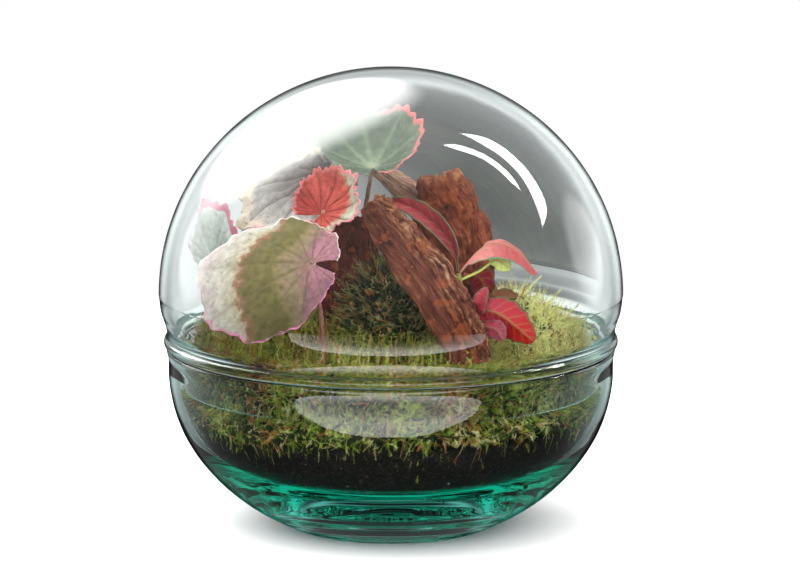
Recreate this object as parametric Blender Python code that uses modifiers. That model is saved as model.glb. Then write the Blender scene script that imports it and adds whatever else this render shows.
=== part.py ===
"""Closed glass terrarium: a blown bowl and dome lid around soil, moss, bark, a saxifrage and a fittonia.

Metres, +Z up. The origin is the centre of the bowl's flat base. The plants' front faces -Y.
"""

import math

import bmesh
import bpy
from mathutils import Vector

MM = 0.001
GAP = 0.35 * MM  # clearance between touching pieces

# Driving dimensions of the glass
BOWL_RADIUS = 110.4 * MM  # widest outer radius of the bowl
BOWL_WIDEST_Z = 78.0 * MM
BOWL_DEPTH = 87.5 * MM  # half height of the ellipse that the bowl's outside follows
BOWL_WALL = 4.2 * MM
BOWL_FLOOR_Z = 14.6 * MM
RIM_Z = 89.3 * MM
RIM_BEAD_RADIUS = 111.4 * MM
RIM_INNER_RADIUS = 107.2 * MM
DOME_RADIUS = 115.0 * MM
DOME_WIDEST_Z = 115.5 * MM
DOME_HEIGHT = 112.3 * MM  # half height of the ellipse that the dome's outside follows
DOME_WALL = 3.5 * MM
NECK_RADIUS = 111.3 * MM
NECK_Z = 99.0 * MM
DOME_BEAD_RADIUS = 112.0 * MM
COLLAR_RADIUS = 103.2 * MM  # outer radius of the collar's lower lip
COLLAR_WALL = 2.4 * MM
COLLAR_BOTTOM_Z = 70.0 * MM
COLLAR_WAIST_Z = 80.0 * MM  # the collar runs nearly upright from here down to its lip
COLLAR_LIP = 1.2 * MM  # height of the rounded lower lip
GLASS_STEPS = 40  # facets round the bowl and the dome
DOME_ARC_STEPS = 8  # facets from the dome's top to its widest ring

# The planting
SOIL_EDGE_Z = 59.0 * MM
SOIL_CENTRE_Z = 66.0 * MM
MOSS_RADIUS = 98.0 * MM  # inside the collar
MOSS_FOOT_Z = 66.0 * MM  # below the collar the moss spreads out to the bowl
MOSS_LEVEL_Z = 90.0 * MM  # the carpet's height before its slope and humps
MOUND_RADIUS = 33.0 * MM
MOUND_EDGE_Z = 101.0 * MM
MOUND_TOP_Z = 132.0 * MM
LEAF_THICKNESS = 0.9 * MM
FITTONIA_THICKNESS = 0.8 * MM
PETIOLE_RADIUS = 1.2 * MM


def colour(hex_code, alpha=1.0):
    """Linear RGBA of an sRGB hex colour."""
    channels = [int(hex_code[i : i + 2], 16) / 255 for i in (0, 2, 4)]
    linear = [c / 12.92 if c <= 0.04045 else ((c + 0.055) / 1.055) ** 2.4 for c in channels]
    return (*linear, alpha)


def material(name, hex_code, roughness, transmission=0.0):
    made = bpy.data.materials.new(name)
    made.use_nodes = True
    shader = made.node_tree.nodes["Principled BSDF"]
    shader.inputs["Base Color"].default_value = colour(hex_code)
    shader.inputs["Roughness"].default_value = roughness
    shader.inputs["Transmission Weight"].default_value = transmission
    made.diffuse_color = colour(hex_code)
    return made


def collection(name):
    made = bpy.data.collections.new(name)
    bpy.context.scene.collection.children.link(made)
    return made


def add_object(name, mesh, made_of, home):
    obj = bpy.data.objects.new(name, mesh)
    if made_of:
        obj.data.materials.append(made_of)
    home.objects.link(obj)
    return obj


def mesh_from(name, bm):
    bmesh.ops.recalc_face_normals(bm, faces=bm.faces)
    mesh = bpy.data.meshes.new(name)
    bm.to_mesh(mesh)
    bm.free()
    return mesh


def evaluated_copy(obj):
    """The object's mesh with its modifiers applied, in world space."""
    bpy.context.view_layer.update()
    graph = bpy.context.evaluated_depsgraph_get()
    mesh = bpy.data.meshes.new_from_object(obj.evaluated_get(graph))
    mesh.transform(obj.matrix_world)
    return mesh


def bake_modifiers(obj):
    mesh = evaluated_copy(obj)
    obj.modifiers.clear()
    obj.data = mesh


def smooth_unit(value):
    value = min(1.0, max(0.0, value))
    return value * value * (3 - 2 * value)


def spline(points, t):
    """Value at t in 0..1 on a smooth curve through the points, which are vectors or numbers."""
    last = len(points) - 1
    place = min(max(t, 0.0), 1.0) * last
    i = min(int(place), last - 1)
    u = place - i
    before = points[max(i - 1, 0)]
    start = points[i]
    end = points[i + 1]
    after = points[min(i + 2, last)]
    return (
        start * 2
        + (end - before) * u
        + (before * 2 - start * 5 + end * 4 - after) * u * u
        + (start * 3 - before - end * 3 + after) * u * u * u
    ) * 0.5


def mm_points(*rows):
    return [Vector(row) * MM for row in rows]


# ---------------------------------------------------------------- glass


def ellipse_radius(z, widest, centre_z, half_height):
    return widest * math.sqrt(max(0.0, 1 - ((z - centre_z) / half_height) ** 2))


def bowl_outer_radius(z):
    return ellipse_radius(z, BOWL_RADIUS, BOWL_WIDEST_Z, BOWL_DEPTH)


def bowl_inner_z(radius):
    """Height of the bowl's inside: the wall's curve, blended into the thick floor."""
    share = min(1.0, radius / (BOWL_RADIUS - BOWL_WALL))
    wall_z = BOWL_WIDEST_Z - (BOWL_DEPTH - BOWL_WALL) * math.sqrt(1 - share * share)
    return (max(wall_z, 0.0) ** 4 + BOWL_FLOOR_Z**4) ** 0.25


def turned(name, profile, made_of, home):
    """A solid of revolution about Z from (radius, height) points that run down the outer side."""
    mesh = bpy.data.meshes.new(name)
    edges = [(i, i + 1) for i in range(len(profile) - 1)]
    mesh.from_pydata([(r, 0, z) for r, z in profile], edges, [])
    obj = add_object(name, mesh, made_of, home)
    screw = obj.modifiers.new("turn", "SCREW")
    screw.steps = GLASS_STEPS
    screw.render_steps = GLASS_STEPS
    screw.use_merge_vertices = True
    screw.merge_threshold = 0.00005
    screw.use_smooth_shade = True
    return obj


def bowl_inside():
    """Inner profile of the bowl from the floor's centre up to its widest height."""
    steps = 10
    reach = BOWL_RADIUS - BOWL_WALL
    radii = [reach * math.sin(math.pi / 2 * i / steps) for i in range(steps)]
    return [(r, bowl_inner_z(r)) for r in radii] + [(reach, BOWL_WIDEST_Z)]


def fitting_radius(z):
    """Radius at a height that just clears the flat facets of the bowl's inside."""
    profile = bowl_inside()
    for (near, low), (far, high) in zip(profile, profile[1:]):
        if low <= z <= high:
            radius = near + (far - near) * (z - low) / (high - low)
            return radius * math.cos(math.pi / GLASS_STEPS) - GAP
    return profile[-1][0] - GAP


def make_bowl(made_of, home):
    inside = bowl_inside()
    # A narrow inner slope, the flat seat, then the bead that stands proud of the wall
    rim = [
        (RIM_INNER_RADIUS, RIM_Z - 2.2 * MM),
        (RIM_INNER_RADIUS + 0.7 * MM, RIM_Z),
        (RIM_BEAD_RADIUS - 0.6 * MM, RIM_Z),
        (RIM_BEAD_RADIUS, RIM_Z - 1.4 * MM),
        (BOWL_RADIUS + 0.1 * MM, RIM_Z - 5.5 * MM),
    ]
    outer_steps = 8
    heights = [BOWL_WIDEST_Z * (1 - (i / outer_steps) ** 0.8) for i in range(outer_steps + 1)]
    outside = [(bowl_outer_radius(z), z) for z in heights]
    return turned("glass_bowl", inside + rim + outside + [(0, 0)], made_of, home)


def dome_arc(inset, steps):
    """Quarter ellipse from the top centre down to the dome's widest ring."""
    angles = [math.pi / 2 * i / steps for i in range(steps + 1)]
    width = DOME_RADIUS - inset
    height = DOME_HEIGHT - inset
    return [(width * math.sin(a), DOME_WIDEST_Z + height * math.cos(a)) for a in angles]


def make_dome(made_of, home):
    """The lid: a dome, a waisted neck, a bead that rests on the rim and a collar inside the bowl."""
    outside = dome_arc(0, DOME_ARC_STEPS) + [
        (DOME_RADIUS - 0.8 * MM, 108.0 * MM),
        (NECK_RADIUS + 1.4 * MM, 104.0 * MM),
        (NECK_RADIUS, NECK_Z),
        (DOME_BEAD_RADIUS, 92.3 * MM),
        (DOME_BEAD_RADIUS - 0.7 * MM, RIM_Z + GAP),
        (RIM_INNER_RADIUS + 0.6 * MM, RIM_Z + GAP),
    ]
    collar = [
        (COLLAR_RADIUS + 2.6 * MM, RIM_Z - 1.6 * MM),
        (COLLAR_RADIUS + 1.2 * MM, COLLAR_WAIST_Z),
        (COLLAR_RADIUS, COLLAR_BOTTOM_Z + COLLAR_LIP),
        (COLLAR_RADIUS - COLLAR_WALL / 2, COLLAR_BOTTOM_Z),
        (COLLAR_RADIUS - COLLAR_WALL, COLLAR_BOTTOM_Z + COLLAR_LIP),
        (COLLAR_RADIUS - 1.4 * MM, COLLAR_WAIST_Z),
        (COLLAR_RADIUS + 0.2 * MM, RIM_Z),
    ]
    inside = [
        (NECK_RADIUS - 5.0 * MM, 95.5 * MM),
        (NECK_RADIUS - 3.6 * MM, NECK_Z),
        (NECK_RADIUS - 2.1 * MM, 104.5 * MM),
        (DOME_RADIUS - DOME_WALL - 0.8 * MM, 108.5 * MM),
    ]
    crown = dome_arc(DOME_WALL, DOME_ARC_STEPS)
    return turned("glass_dome", outside + collar + inside + crown[::-1], made_of, home)


# ---------------------------------------------------------------- soil and moss


def soil_top_z(radius):
    return SOIL_CENTRE_Z + (SOIL_EDGE_Z - SOIL_CENTRE_Z) * (radius / MOSS_RADIUS) ** 2


def make_soil(made_of, home):
    """Fills the bowl, one clearance off the glass, and rises slightly to its middle."""
    wall = [(r - GAP, z + GAP) for r, z in bowl_inside()[1:] if z < SOIL_EDGE_Z - 4 * MM]
    edge_radius = fitting_radius(soil_top_z(MOSS_RADIUS)) - GAP
    top = [(r, soil_top_z(r)) for r in (0, edge_radius / 2, edge_radius)]
    return turned("soil", top + wall[::-1] + [(0, BOWL_FLOOR_Z + GAP)], made_of, home)


def bump(x, y, centre_x, centre_y, spread_x, spread_y, height):
    """A soft rise of the moss around a centre, all in metres."""
    away = ((x - centre_x) / spread_x) ** 2 + ((y - centre_y) / spread_y) ** 2
    return height * math.exp(-away)


def moss_top_z(x, y):
    """Height of the moss carpet: lowest at the front, humped at the right and round the mound."""
    level = MOSS_LEVEL_Z + 0.045 * y + 0.02 * abs(x)
    level += bump(x, y, 64 * MM, 14 * MM, 27 * MM, 30 * MM, 19 * MM)
    level += bump(x, y, -72 * MM, 6 * MM, 26 * MM, 34 * MM, 3 * MM)
    level += bump(x, y, -4 * MM, 10 * MM, 48 * MM, 40 * MM, 20 * MM)
    level += 1.3 * MM * math.sin(x * 170 + 1) * math.cos(y * 150)
    return level


def moss_pad(name, start_deg, end_deg, made_of, home):
    """A cushion of moss that fills a sector between the mound and the glass."""
    columns = 9
    foot_z = MOSS_FOOT_Z - 2 * MM
    edge_radius = fitting_radius(soil_top_z(MOSS_RADIUS)) - GAP
    inner = MOUND_RADIUS + 2 * GAP
    edge = GAP / MOUND_RADIUS  # keeps neighbouring pads apart
    start = math.radians(start_deg) + edge
    end = math.radians(end_deg) - edge
    rings = []
    for i in range(columns + 1):
        angle = start + (end - start) * i / columns
        across = Vector((math.cos(angle), math.sin(angle), 0))
        ring = []
        for share in (0.0, 0.33, 0.66, 0.93):
            radius = inner + (MOSS_RADIUS - inner) * share
            spot = across * radius
            ring.append(spot + Vector((0, 0, moss_top_z(spot.x, spot.y))))
        spot = across * MOSS_RADIUS
        ring.append(spot + Vector((0, 0, moss_top_z(spot.x, spot.y) - 3 * MM)))
        ring.append(spot + Vector((0, 0, MOSS_FOOT_Z + 1 * MM)))
        ring.append(across * fitting_radius(foot_z) + Vector((0, 0, foot_z)))
        for radius in (edge_radius, (edge_radius + inner) / 2, inner):
            ring.append(across * radius + Vector((0, 0, soil_top_z(radius) + 1.5 * GAP)))
        rings.append(ring)
    return add_object(name, loft(name, rings), made_of, home)


def mound_ring(share, sides):
    """A ring of the mound's top: share 1 is its edge and 0 its centre."""
    rise = smooth_unit(1 - share * share) ** 0.75
    ring = []
    for i in range(sides):
        angle = 2 * math.pi * i / sides
        ripple = 1.6 * MM * math.sin(3 * angle + 1) * (1 - share)
        z = MOUND_EDGE_Z + (MOUND_TOP_Z - MOUND_EDGE_Z) * rise + ripple
        radius = MOUND_RADIUS * share
        ring.append(Vector((radius * math.cos(angle), radius * math.sin(angle), z)))
    return ring


def make_mound(made_of, home):
    """The high cushion in the middle that the bark and the plants stand in."""
    edge = mound_ring(1.0, 24)
    foot_z = SOIL_CENTRE_Z + 1.5 * GAP
    foot = [Vector((point.x, point.y, foot_z)) for point in edge]
    top = [mound_ring(share, len(edge)) for share in (0.86, 0.7, 0.5, 0.3, 0.12)]
    return add_object("moss_mound", loft("moss_mound", [foot, edge, *top]), made_of, home)


# ---------------------------------------------------------------- lofted pieces


def loft(name, rings):
    """One closed mesh through rings with the same number of points, capped at both ends.

    Its sides are triangles split the same way round, so a grown copy stays clear everywhere.
    """
    bm = bmesh.new()
    rows = [[bm.verts.new(point) for point in ring] for ring in rings]
    count = len(rows[0])
    for low, high in zip(rows, rows[1:]):
        for i in range(count):
            j = (i + 1) % count
            bm.faces.new((low[i], low[j], high[j]))
            bm.faces.new((low[i], high[j], high[i]))
    bm.faces.new(rows[0])
    bm.faces.new(rows[-1])
    return mesh_from(name, bm)


def grown(outline, grow):
    """The flat outline with each corner moved out by grow along its normal."""
    moved = []
    for i, corner in enumerate(outline):
        along = (outline[(i + 1) % len(outline)] - outline[i - 1]).normalized()
        moved.append(corner + Vector((along.y, -along.x)) * grow)
    return moved


def bark_rings(path, side, widths, depths, seed, grow=0.0):
    """Rings of a weathered bark piece: a flattened section that is ridged along its grain.

    The half widths and half depths are in millimetres. A grown copy is the piece's socket.
    """
    sections = 9
    points = 12
    rings = []
    for i in range(sections):
        t = i / (sections - 1)
        centre = spline(path, t)
        ahead = (spline(path, min(1, t + 0.02)) - spline(path, max(0, t - 0.02))).normalized()
        across = (side - ahead * side.dot(ahead)).normalized()
        out = ahead.cross(across)
        half_width = spline(widths, t) * MM
        half_depth = spline(depths, t) * MM
        if i in (0, sections - 1):
            centre = centre + ahead * (grow if i else -grow)
        outline = []
        for k in range(points):
            angle = 2 * math.pi * k / points
            ridge = 1 + 0.09 * math.sin(3 * angle + seed) + 0.06 * math.sin(5 * angle + 2 * seed + 4 * t)
            squareness = 1 / max(abs(math.cos(angle)), abs(math.sin(angle))) ** 0.35
            reach = ridge * squareness
            corner = (half_width * math.cos(angle), half_depth * math.sin(angle))
            outline.append(Vector(corner) * reach)
        ring = [centre + across * flat.x + out * flat.y for flat in grown(outline, grow)]
        rings.append(ring)
    return rings


BARK = {
    # name: path, side, half widths and half depths along the path (mm), seed
    "bark_slab_front": dict(
        path=((-9, -15, 163), (7, -28, 143), (23, -40, 122), (36, -50, 101), (42, -54, 90)),
        side=(0.72, 0.1, 0.69),
        widths=(7, 11, 12, 11, 8),
        depths=(2.5, 4, 4.5, 4.5, 4),
        seed=0.4,
    ),
    "bark_chunk_right": dict(
        path=((24, 19, 171), (28, 17, 152), (34, 14, 132), (36, 12, 112), (36, 12, 92)),
        side=(0.95, -0.3, 0.1),
        widths=(11, 16, 17, 15, 12),
        depths=(6, 10, 12, 11, 9),
        seed=1.7,
    ),
    "bark_stick_back": dict(
        path=((-10, 31, 176), (2, 34, 166), (14, 38, 154), (21, 41, 134), (22, 41, 96)),
        side=(0.5, -0.7, 0.4),
        widths=(4, 6, 7, 7, 6),
        depths=(3, 4.5, 5, 5, 5),
        seed=2.9,
    ),
    "bark_piece_left": dict(
        path=((-20, 4, 152), (-20, 1, 140), (-20, -3, 126), (-20, -6, 108), (-18, -8, 94)),
        side=(0.95, 0.25, 0.0),
        widths=(10, 14, 15, 13, 10),
        depths=(3, 4, 4.5, 4.5, 4),
        seed=4.2,
    ),
}


def make_bark(name, spec, made_of, home, grow=0.0):
    path = mm_points(*spec["path"])
    side = Vector(spec["side"]).normalized()
    rings = bark_rings(path, side, spec["widths"], spec["depths"], spec["seed"], grow)
    return add_object(name, loft(name, rings), made_of, home)


# ---------------------------------------------------------------- saxifrage

CROWN = Vector((-26, 14, 108)) * MM
CROWN_RADIUS = 4.5 * MM
CROWN_HEIGHT = 12.0 * MM

SAXIFRAGE = {
    # at: the petiole's joint with the blade (mm); tip and face: directions of the blade's end
    # and upper side; offset: joint to the blade's centre, as a share of its radius; cup: rise of
    # the margin (mm); droop and roll: bend along and across the blade (radians over a radius);
    # way: a point that the petiole passes (mm); root: where it enters the moss, if not the crown
    "saxifrage_leaf_top": dict(
        at=(-9, -6, 179.5), tip=(-0.15, 0.86, 0.5), face=(0, -0.5, 0.86), radius=30,
        offset=0.75, cup=1, droop=0.1, roll=-0.5, way=(-14, 18, 150),
    ),
    "saxifrage_leaf_mauve": dict(
        at=(-30, 16.5, 173.6), tip=(-0.9, -0.15, -0.4), face=(-0.38, -0.4, 0.84), radius=33,
        offset=0.6, cup=-1, droop=0.12, roll=0.1, way=(-29, 27, 145),
    ),
    "saxifrage_leaf_coral": dict(
        at=(-34, -28.6, 160.3), tip=(0.8, 0.1, 0.5), face=(-0.3, -0.75, 0.55), radius=20,
        offset=0.35, cup=2, droop=-0.5, roll=-0.6, way=(-38, -2, 140),
    ),
    "saxifrage_leaf_front": dict(
        at=(-38, -61.3, 141.2), tip=(-0.96, 0.2, 0.02), face=(-0.15, -0.72, 0.68), radius=34,
        offset=0.62, cup=-1, droop=0.25, roll=0.45, way=(-34, -57, 118), root=(-32, -52, 86),
    ),
    "saxifrage_leaf_far_left": dict(
        at=(-87, 4, 129), tip=(-0.2, 0.1, 0.97), face=(-0.8, -0.5, 0.2), radius=24,
        offset=0.4, cup=1, droop=0.2, roll=0.25, way=(-56, 9, 122),
    ),
    "saxifrage_leaf_small": dict(
        at=(-57, 13, 144), tip=(-1, -0.1, -0.12), face=(-0.12, -0.2, 0.97), radius=11,
        offset=0.6, cup=1, droop=0.2, roll=0.2, way=(-42, 18, 128),
    ),
    "saxifrage_leaf_back": dict(
        at=(-42, 46, 148), tip=(-0.3, 0.85, 0.1), face=(-0.2, 0.2, 0.95), radius=24,
        offset=0.5, cup=2, droop=0.5, roll=0.3, way=(-37, 40, 132),
    ),
    "saxifrage_leaf_back_low": dict(
        at=(-62.3, 41.4, 122.3), tip=(-0.7, 0.6, -0.1), face=(-0.4, 0.3, 0.85), radius=18,
        offset=0.5, cup=2, droop=0.4, roll=0.2, way=(-46, 28, 124),
    ),
}
SINUS = 0.35  # half angle of the notch at the petiole, radians


def leaf_frame(spec):
    tip = Vector(spec["tip"]).normalized()
    face = Vector(spec["face"])
    face = (face - tip * face.dot(tip)).normalized()
    return tip, face.cross(tip), face


def bent(along, height, curvature):
    """Rolls a flat strip into an arc: new distance along and new height."""
    if abs(curvature) < 1e-6:
        return along, height
    angle = along * curvature
    reach = 1 / curvature - height
    return reach * math.sin(angle), 1 / curvature - reach * math.cos(angle)


def saxifrage_point(spec, share, angle):
    """Point of the blade at a share of its reach and an angle from the tip, seen at the joint."""
    tip, side, face = leaf_frame(spec)
    radius = spec["radius"] * MM
    offset = spec["offset"] * radius
    reach = offset * math.cos(angle) + math.sqrt(radius**2 - (offset * math.sin(angle)) ** 2)
    along = reach * share * math.cos(angle)
    across = reach * share * math.sin(angle)
    height = spec["cup"] * MM * share * share
    across, height = bent(across, height, -spec["roll"] / radius)
    along, height = bent(along, height, -spec["droop"] / radius)
    return Vector(spec["at"]) * MM + tip * along + side * across + face * height


def saxifrage_blade(spec):
    columns = 16
    shares = (0.35, 0.7, 1.0)
    bm = bmesh.new()
    centre = bm.verts.new(saxifrage_point(spec, 0, 0))
    turn = math.pi - SINUS
    angles = [-turn + 2 * turn * i / columns for i in range(columns + 1)]
    rows = [[bm.verts.new(saxifrage_point(spec, s, a)) for a in angles] for s in shares]
    for i in range(columns):
        bm.faces.new((centre, rows[0][i], rows[0][i + 1]))
        for near, far in zip(rows, rows[1:]):
            bm.faces.new((near[i], far[i], far[i + 1], near[i + 1]))
    return bm


def petiole(name, points, radius, home):
    """A round stalk through the points, as a closed mesh."""
    curve = bpy.data.curves.new(name, "CURVE")
    curve.dimensions = "3D"
    curve.bevel_depth = radius
    curve.bevel_resolution = 1
    curve.use_fill_caps = True
    strand = curve.splines.new("POLY")
    steps = 7
    strand.points.add(steps - 1)
    for i, point in enumerate(strand.points):
        point.co = (*spline(points, i / (steps - 1)), 1)
    guide = add_object(name, curve, None, home)
    mesh = evaluated_copy(guide)
    bpy.data.objects.remove(guide)
    bm = bmesh.new()
    bm.from_mesh(mesh)
    bmesh.ops.remove_doubles(bm, verts=bm.verts, dist=1e-6)
    return add_object(name, mesh_from(name, bm), None, home)


def petiole_points(spec):
    """From the crown, or from the moss, through the waypoint to the blade."""
    tip, _, _ = leaf_frame(spec)
    way = Vector(spec["way"]) * MM
    if "root" in spec:
        root = Vector(spec["root"]) * MM
    else:
        leave = (way - CROWN).normalized()
        flat = (leave.x**2 + leave.y**2) / CROWN_RADIUS**2
        reach = 1 / math.sqrt(flat + leave.z**2 / (CROWN_HEIGHT / 2) ** 2)
        root = CROWN + leave * (reach + 2 * GAP)
    return [root, way, Vector(spec["at"]) * MM + tip * 1.5 * MM]


def deepened(points):
    """The same stalk with its foot one clearance lower, for its socket."""
    down = (points[0] - points[1]).normalized() * GAP
    return [points[0] + down, *points[1:]]


def make_saxifrage_leaf(name, spec, made_of, home, helpers):
    blade = add_object(name, mesh_from(name, saxifrage_blade(spec)), made_of, home)
    thick = blade.modifiers.new("thickness", "SOLIDIFY")
    thick.thickness = LEAF_THICKNESS
    thick.offset = 0
    stalk = petiole(name + "_stalk", petiole_points(spec), PETIOLE_RADIUS, helpers)
    join = blade.modifiers.new("stalk", "BOOLEAN")
    join.operation = "UNION"
    join.object = stalk
    bake_modifiers(blade)
    bpy.data.objects.remove(stalk)
    return blade


def crown_mesh(grow=0.0):
    bm = bmesh.new()
    bmesh.ops.create_uvsphere(bm, u_segments=12, v_segments=8, radius=CROWN_RADIUS + grow)
    bmesh.ops.scale(bm, verts=bm.verts, vec=(1, 1, CROWN_HEIGHT / CROWN_RADIUS / 2))
    bmesh.ops.translate(bm, verts=bm.verts, vec=CROWN)
    return mesh_from("saxifrage_crown", bm)


# ---------------------------------------------------------------- fittonia

FITTONIA_STEM = ((41, -36, 86), (38, -35, 98), (36, -33, 110), (34, -32, 122), (33, -30, 131))
FITTONIA_STEM_RADIUS = 1.4 * MM
STALK_SHARE = 0.12  # of a leaf's length; its stalk is this share of the half width too

FITTONIA = {
    # node: share of the stem's height that the leaf grows from; rib: midrib (mm);
    # side: direction across the blade; width: half width (mm); fold: along the midrib (radians)
    "fittonia_leaf_long": dict(
        node=0.98, rib=((31, -23, 142), (24, -15, 151), (14, -9, 158), (4, -6, 162), (-4, -7, 162)),
        side=(0.7, 0.1, 0.7), width=8, fold=0.5,
    ),
    "fittonia_leaf_arch": dict(
        node=0.99, rib=((42, -33, 142), (50, -34, 146.5), (61, -36, 143), (71, -39, 132)),
        side=(0.1, 0.75, 0.6), width=8.5, fold=0.5,
    ),
    "fittonia_leaf_maroon": dict(
        node=0.9, rib=((40, -24, 129), (45, -20, 125), (46, -18, 116), (46, -18, 107)),
        side=(0.9, 0.2, 0.1), width=6.5, fold=0.3,
    ),
    "fittonia_leaf_small": dict(
        node=0.58, rib=((43, -42, 117), (45, -45, 122), (46.5, -47, 127)),
        side=(0.75, -0.4, -0.3), width=5, fold=0.5,
    ),
    "fittonia_leaf_red": dict(
        node=0.52, rib=((46.4, -40.7, 114.4), (54.3, -44.7, 112.3), (62.3, -49.7, 106.3), (69, -54, 101)),
        side=(0.35, 0.2, 0.9), width=10, fold=0.4,
    ),
    "fittonia_leaf_pink": dict(
        node=0.42, rib=((46.5, -47.5, 107.6), (50.9, -54.8, 107.2), (54.2, -60, 103)),
        side=(0.5, 0.1, 0.8), width=5.5, fold=0.4,
    ),
    "fittonia_leaf_rear": dict(
        node=0.62, rib=((48, -28, 114), (55, -24, 117), (62, -20, 117)),
        side=(0.3, -0.2, 0.9), width=6.5, fold=0.3,
    ),
    "fittonia_leaf_young": dict(
        node=0.88, rib=((43, -31, 132), (51, -30, 137), (58, -32, 133)),
        side=(0.4, 0.3, 0.8), width=3.6, fold=0.2,
    ),
}


def fittonia_rib(spec):
    """The midrib with its start set against the stem."""
    first = Vector(spec["rib"][0]) * MM
    axis = spline(mm_points(*FITTONIA_STEM), spec["node"])
    leave = (first - axis).normalized()
    return [axis + leave * (FITTONIA_STEM_RADIUS + 1.6 * GAP), *mm_points(*spec["rib"])]


def fittonia_width(t):
    """Share of the half width along the midrib: a short stalk, then an oval blade."""
    blade = min(1.0, max(0.0, (t - STALK_SHARE) / (1 - STALK_SHARE)))
    return STALK_SHARE + (1 - STALK_SHARE) * max(0.0, math.sin(math.pi * blade**0.8)) ** 0.8


def fittonia_sheet(spec, stations, columns):
    """Open sheet of the leaf, folded upwards along the midrib."""
    rib = fittonia_rib(spec)
    side = Vector(spec["side"]).normalized()
    bm = bmesh.new()
    rows = []
    for i in range(stations + 1):
        t = i / stations
        centre = spline(rib, t)
        ahead = (spline(rib, min(1, t + 0.02)) - spline(rib, max(0, t - 0.02))).normalized()
        across = (side - ahead * side.dot(ahead)).normalized()
        up = across.cross(ahead)
        half = spec["width"] * MM * fittonia_width(t)
        row = []
        for k in range(-columns, columns + 1):
            reach = half * k / columns
            lift = abs(reach) * math.sin(spec["fold"])
            row.append(bm.verts.new(centre + across * reach * math.cos(spec["fold"]) + up * lift))
        rows.append(row)
    for near, far in zip(rows, rows[1:]):
        for k in range(2 * columns):
            bm.faces.new((near[k], far[k], far[k + 1], near[k + 1]))
    return bm


def make_fittonia_leaf(name, spec, made_of, home):
    leaf = add_object(name, mesh_from(name, fittonia_sheet(spec, 8, 2)), made_of, home)
    thick = leaf.modifiers.new("thickness", "SOLIDIFY")
    thick.thickness = FITTONIA_THICKNESS
    thick.offset = 0
    return leaf


# ---------------------------------------------------------------- the whole object


def cut_sockets(pads, planted):
    """Each moss cushion gets a socket, one clearance larger, round every piece planted in it."""
    for pad in pads:
        for cutter in planted:
            socket = pad.modifiers.new(cutter.name, "BOOLEAN")
            socket.operation = "DIFFERENCE"
            socket.object = cutter


def main():
    for obj in list(bpy.data.objects):
        bpy.data.objects.remove(obj)
    home = collection("glass_terrarium")
    cutters = collection("cutters")

    glass = material("soda_lime_glass", "cfe9df", 0.0, 1.0)
    soil = material("potting_soil", "1d1512", 0.95)
    moss = material("sheet_moss", "5d6b24", 0.9)
    dark_moss = material("cushion_moss", "4a4d34", 0.9)
    bark = material("redwood_bark", "7a4630", 0.8)
    saxifrage = material("saxifrage_leaf", "9a9c86", 0.6)
    crown = material("saxifrage_crown", "7d5a44", 0.7)
    fittonia = material("fittonia_leaf", "c23a4a", 0.45)
    stem = material("fittonia_stem", "8b8a3c", 0.55)

    make_bowl(glass, home)
    make_dome(glass, home)
    make_soil(soil, home)
    mound = make_mound(dark_moss, home)
    sectors = (
        ("moss_front", 205, 335),
        ("moss_right", -25, 52),
        ("moss_back", 52, 138),
        ("moss_left", 138, 205),
    )
    pads = {name: moss_pad(name, start, end, moss, home) for name, start, end in sectors}

    sockets = {}
    for name, spec in BARK.items():
        make_bark(name, spec, bark, home)
        sockets[name] = make_bark(name + "_socket", spec, None, cutters, GAP)
    add_object("saxifrage_crown", crown_mesh(), crown, home)
    sockets["saxifrage_crown"] = add_object("crown_socket", crown_mesh(GAP), None, cutters)
    for name, spec in SAXIFRAGE.items():
        make_saxifrage_leaf(name, spec, saxifrage, home, cutters)
        if "root" in spec:
            points = deepened(petiole_points(spec))
            sockets[name] = petiole(name + "_socket", points, PETIOLE_RADIUS + GAP, cutters)

    stem_points = mm_points(*FITTONIA_STEM)
    stalk = petiole("fittonia_stem", stem_points, FITTONIA_STEM_RADIUS, home)
    stalk.data.materials.append(stem)
    sockets["fittonia_stem"] = petiole(
        "stem_socket", deepened(stem_points), FITTONIA_STEM_RADIUS + GAP, cutters
    )
    for name, spec in FITTONIA.items():
        make_fittonia_leaf(name, spec, fittonia, home)

    for cutter in sockets.values():
        cutter.hide_render = True
        cutter.display_type = "WIRE"
    cut_sockets([mound, *pads.values()], sockets.values())
    for pad in (mound, *pads.values()):
        bake_modifiers(pad)


main()
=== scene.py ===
"""Looks of a closed glass terrarium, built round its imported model.

Metres, +Z up. The origin is the centre of the bowl's flat base, and the planting's front faces -Y.
"""

import math

import bmesh
import bpy
import numpy as np
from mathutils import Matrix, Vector, noise


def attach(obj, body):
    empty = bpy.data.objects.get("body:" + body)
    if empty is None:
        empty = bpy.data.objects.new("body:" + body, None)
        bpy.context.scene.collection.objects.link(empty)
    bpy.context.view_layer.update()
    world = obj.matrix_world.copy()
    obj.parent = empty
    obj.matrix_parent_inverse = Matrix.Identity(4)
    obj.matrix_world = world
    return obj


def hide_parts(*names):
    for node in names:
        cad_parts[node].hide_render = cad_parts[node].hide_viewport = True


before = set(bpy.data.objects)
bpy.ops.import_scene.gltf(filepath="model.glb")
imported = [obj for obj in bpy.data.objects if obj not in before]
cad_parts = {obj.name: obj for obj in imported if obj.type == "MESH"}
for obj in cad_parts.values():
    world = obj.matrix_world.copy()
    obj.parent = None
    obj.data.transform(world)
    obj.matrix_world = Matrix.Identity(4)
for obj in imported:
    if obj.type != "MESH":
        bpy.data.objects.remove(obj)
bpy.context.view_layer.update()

MM = 0.001
GAP = 0.35 * MM  # clearance between touching pieces

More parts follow.
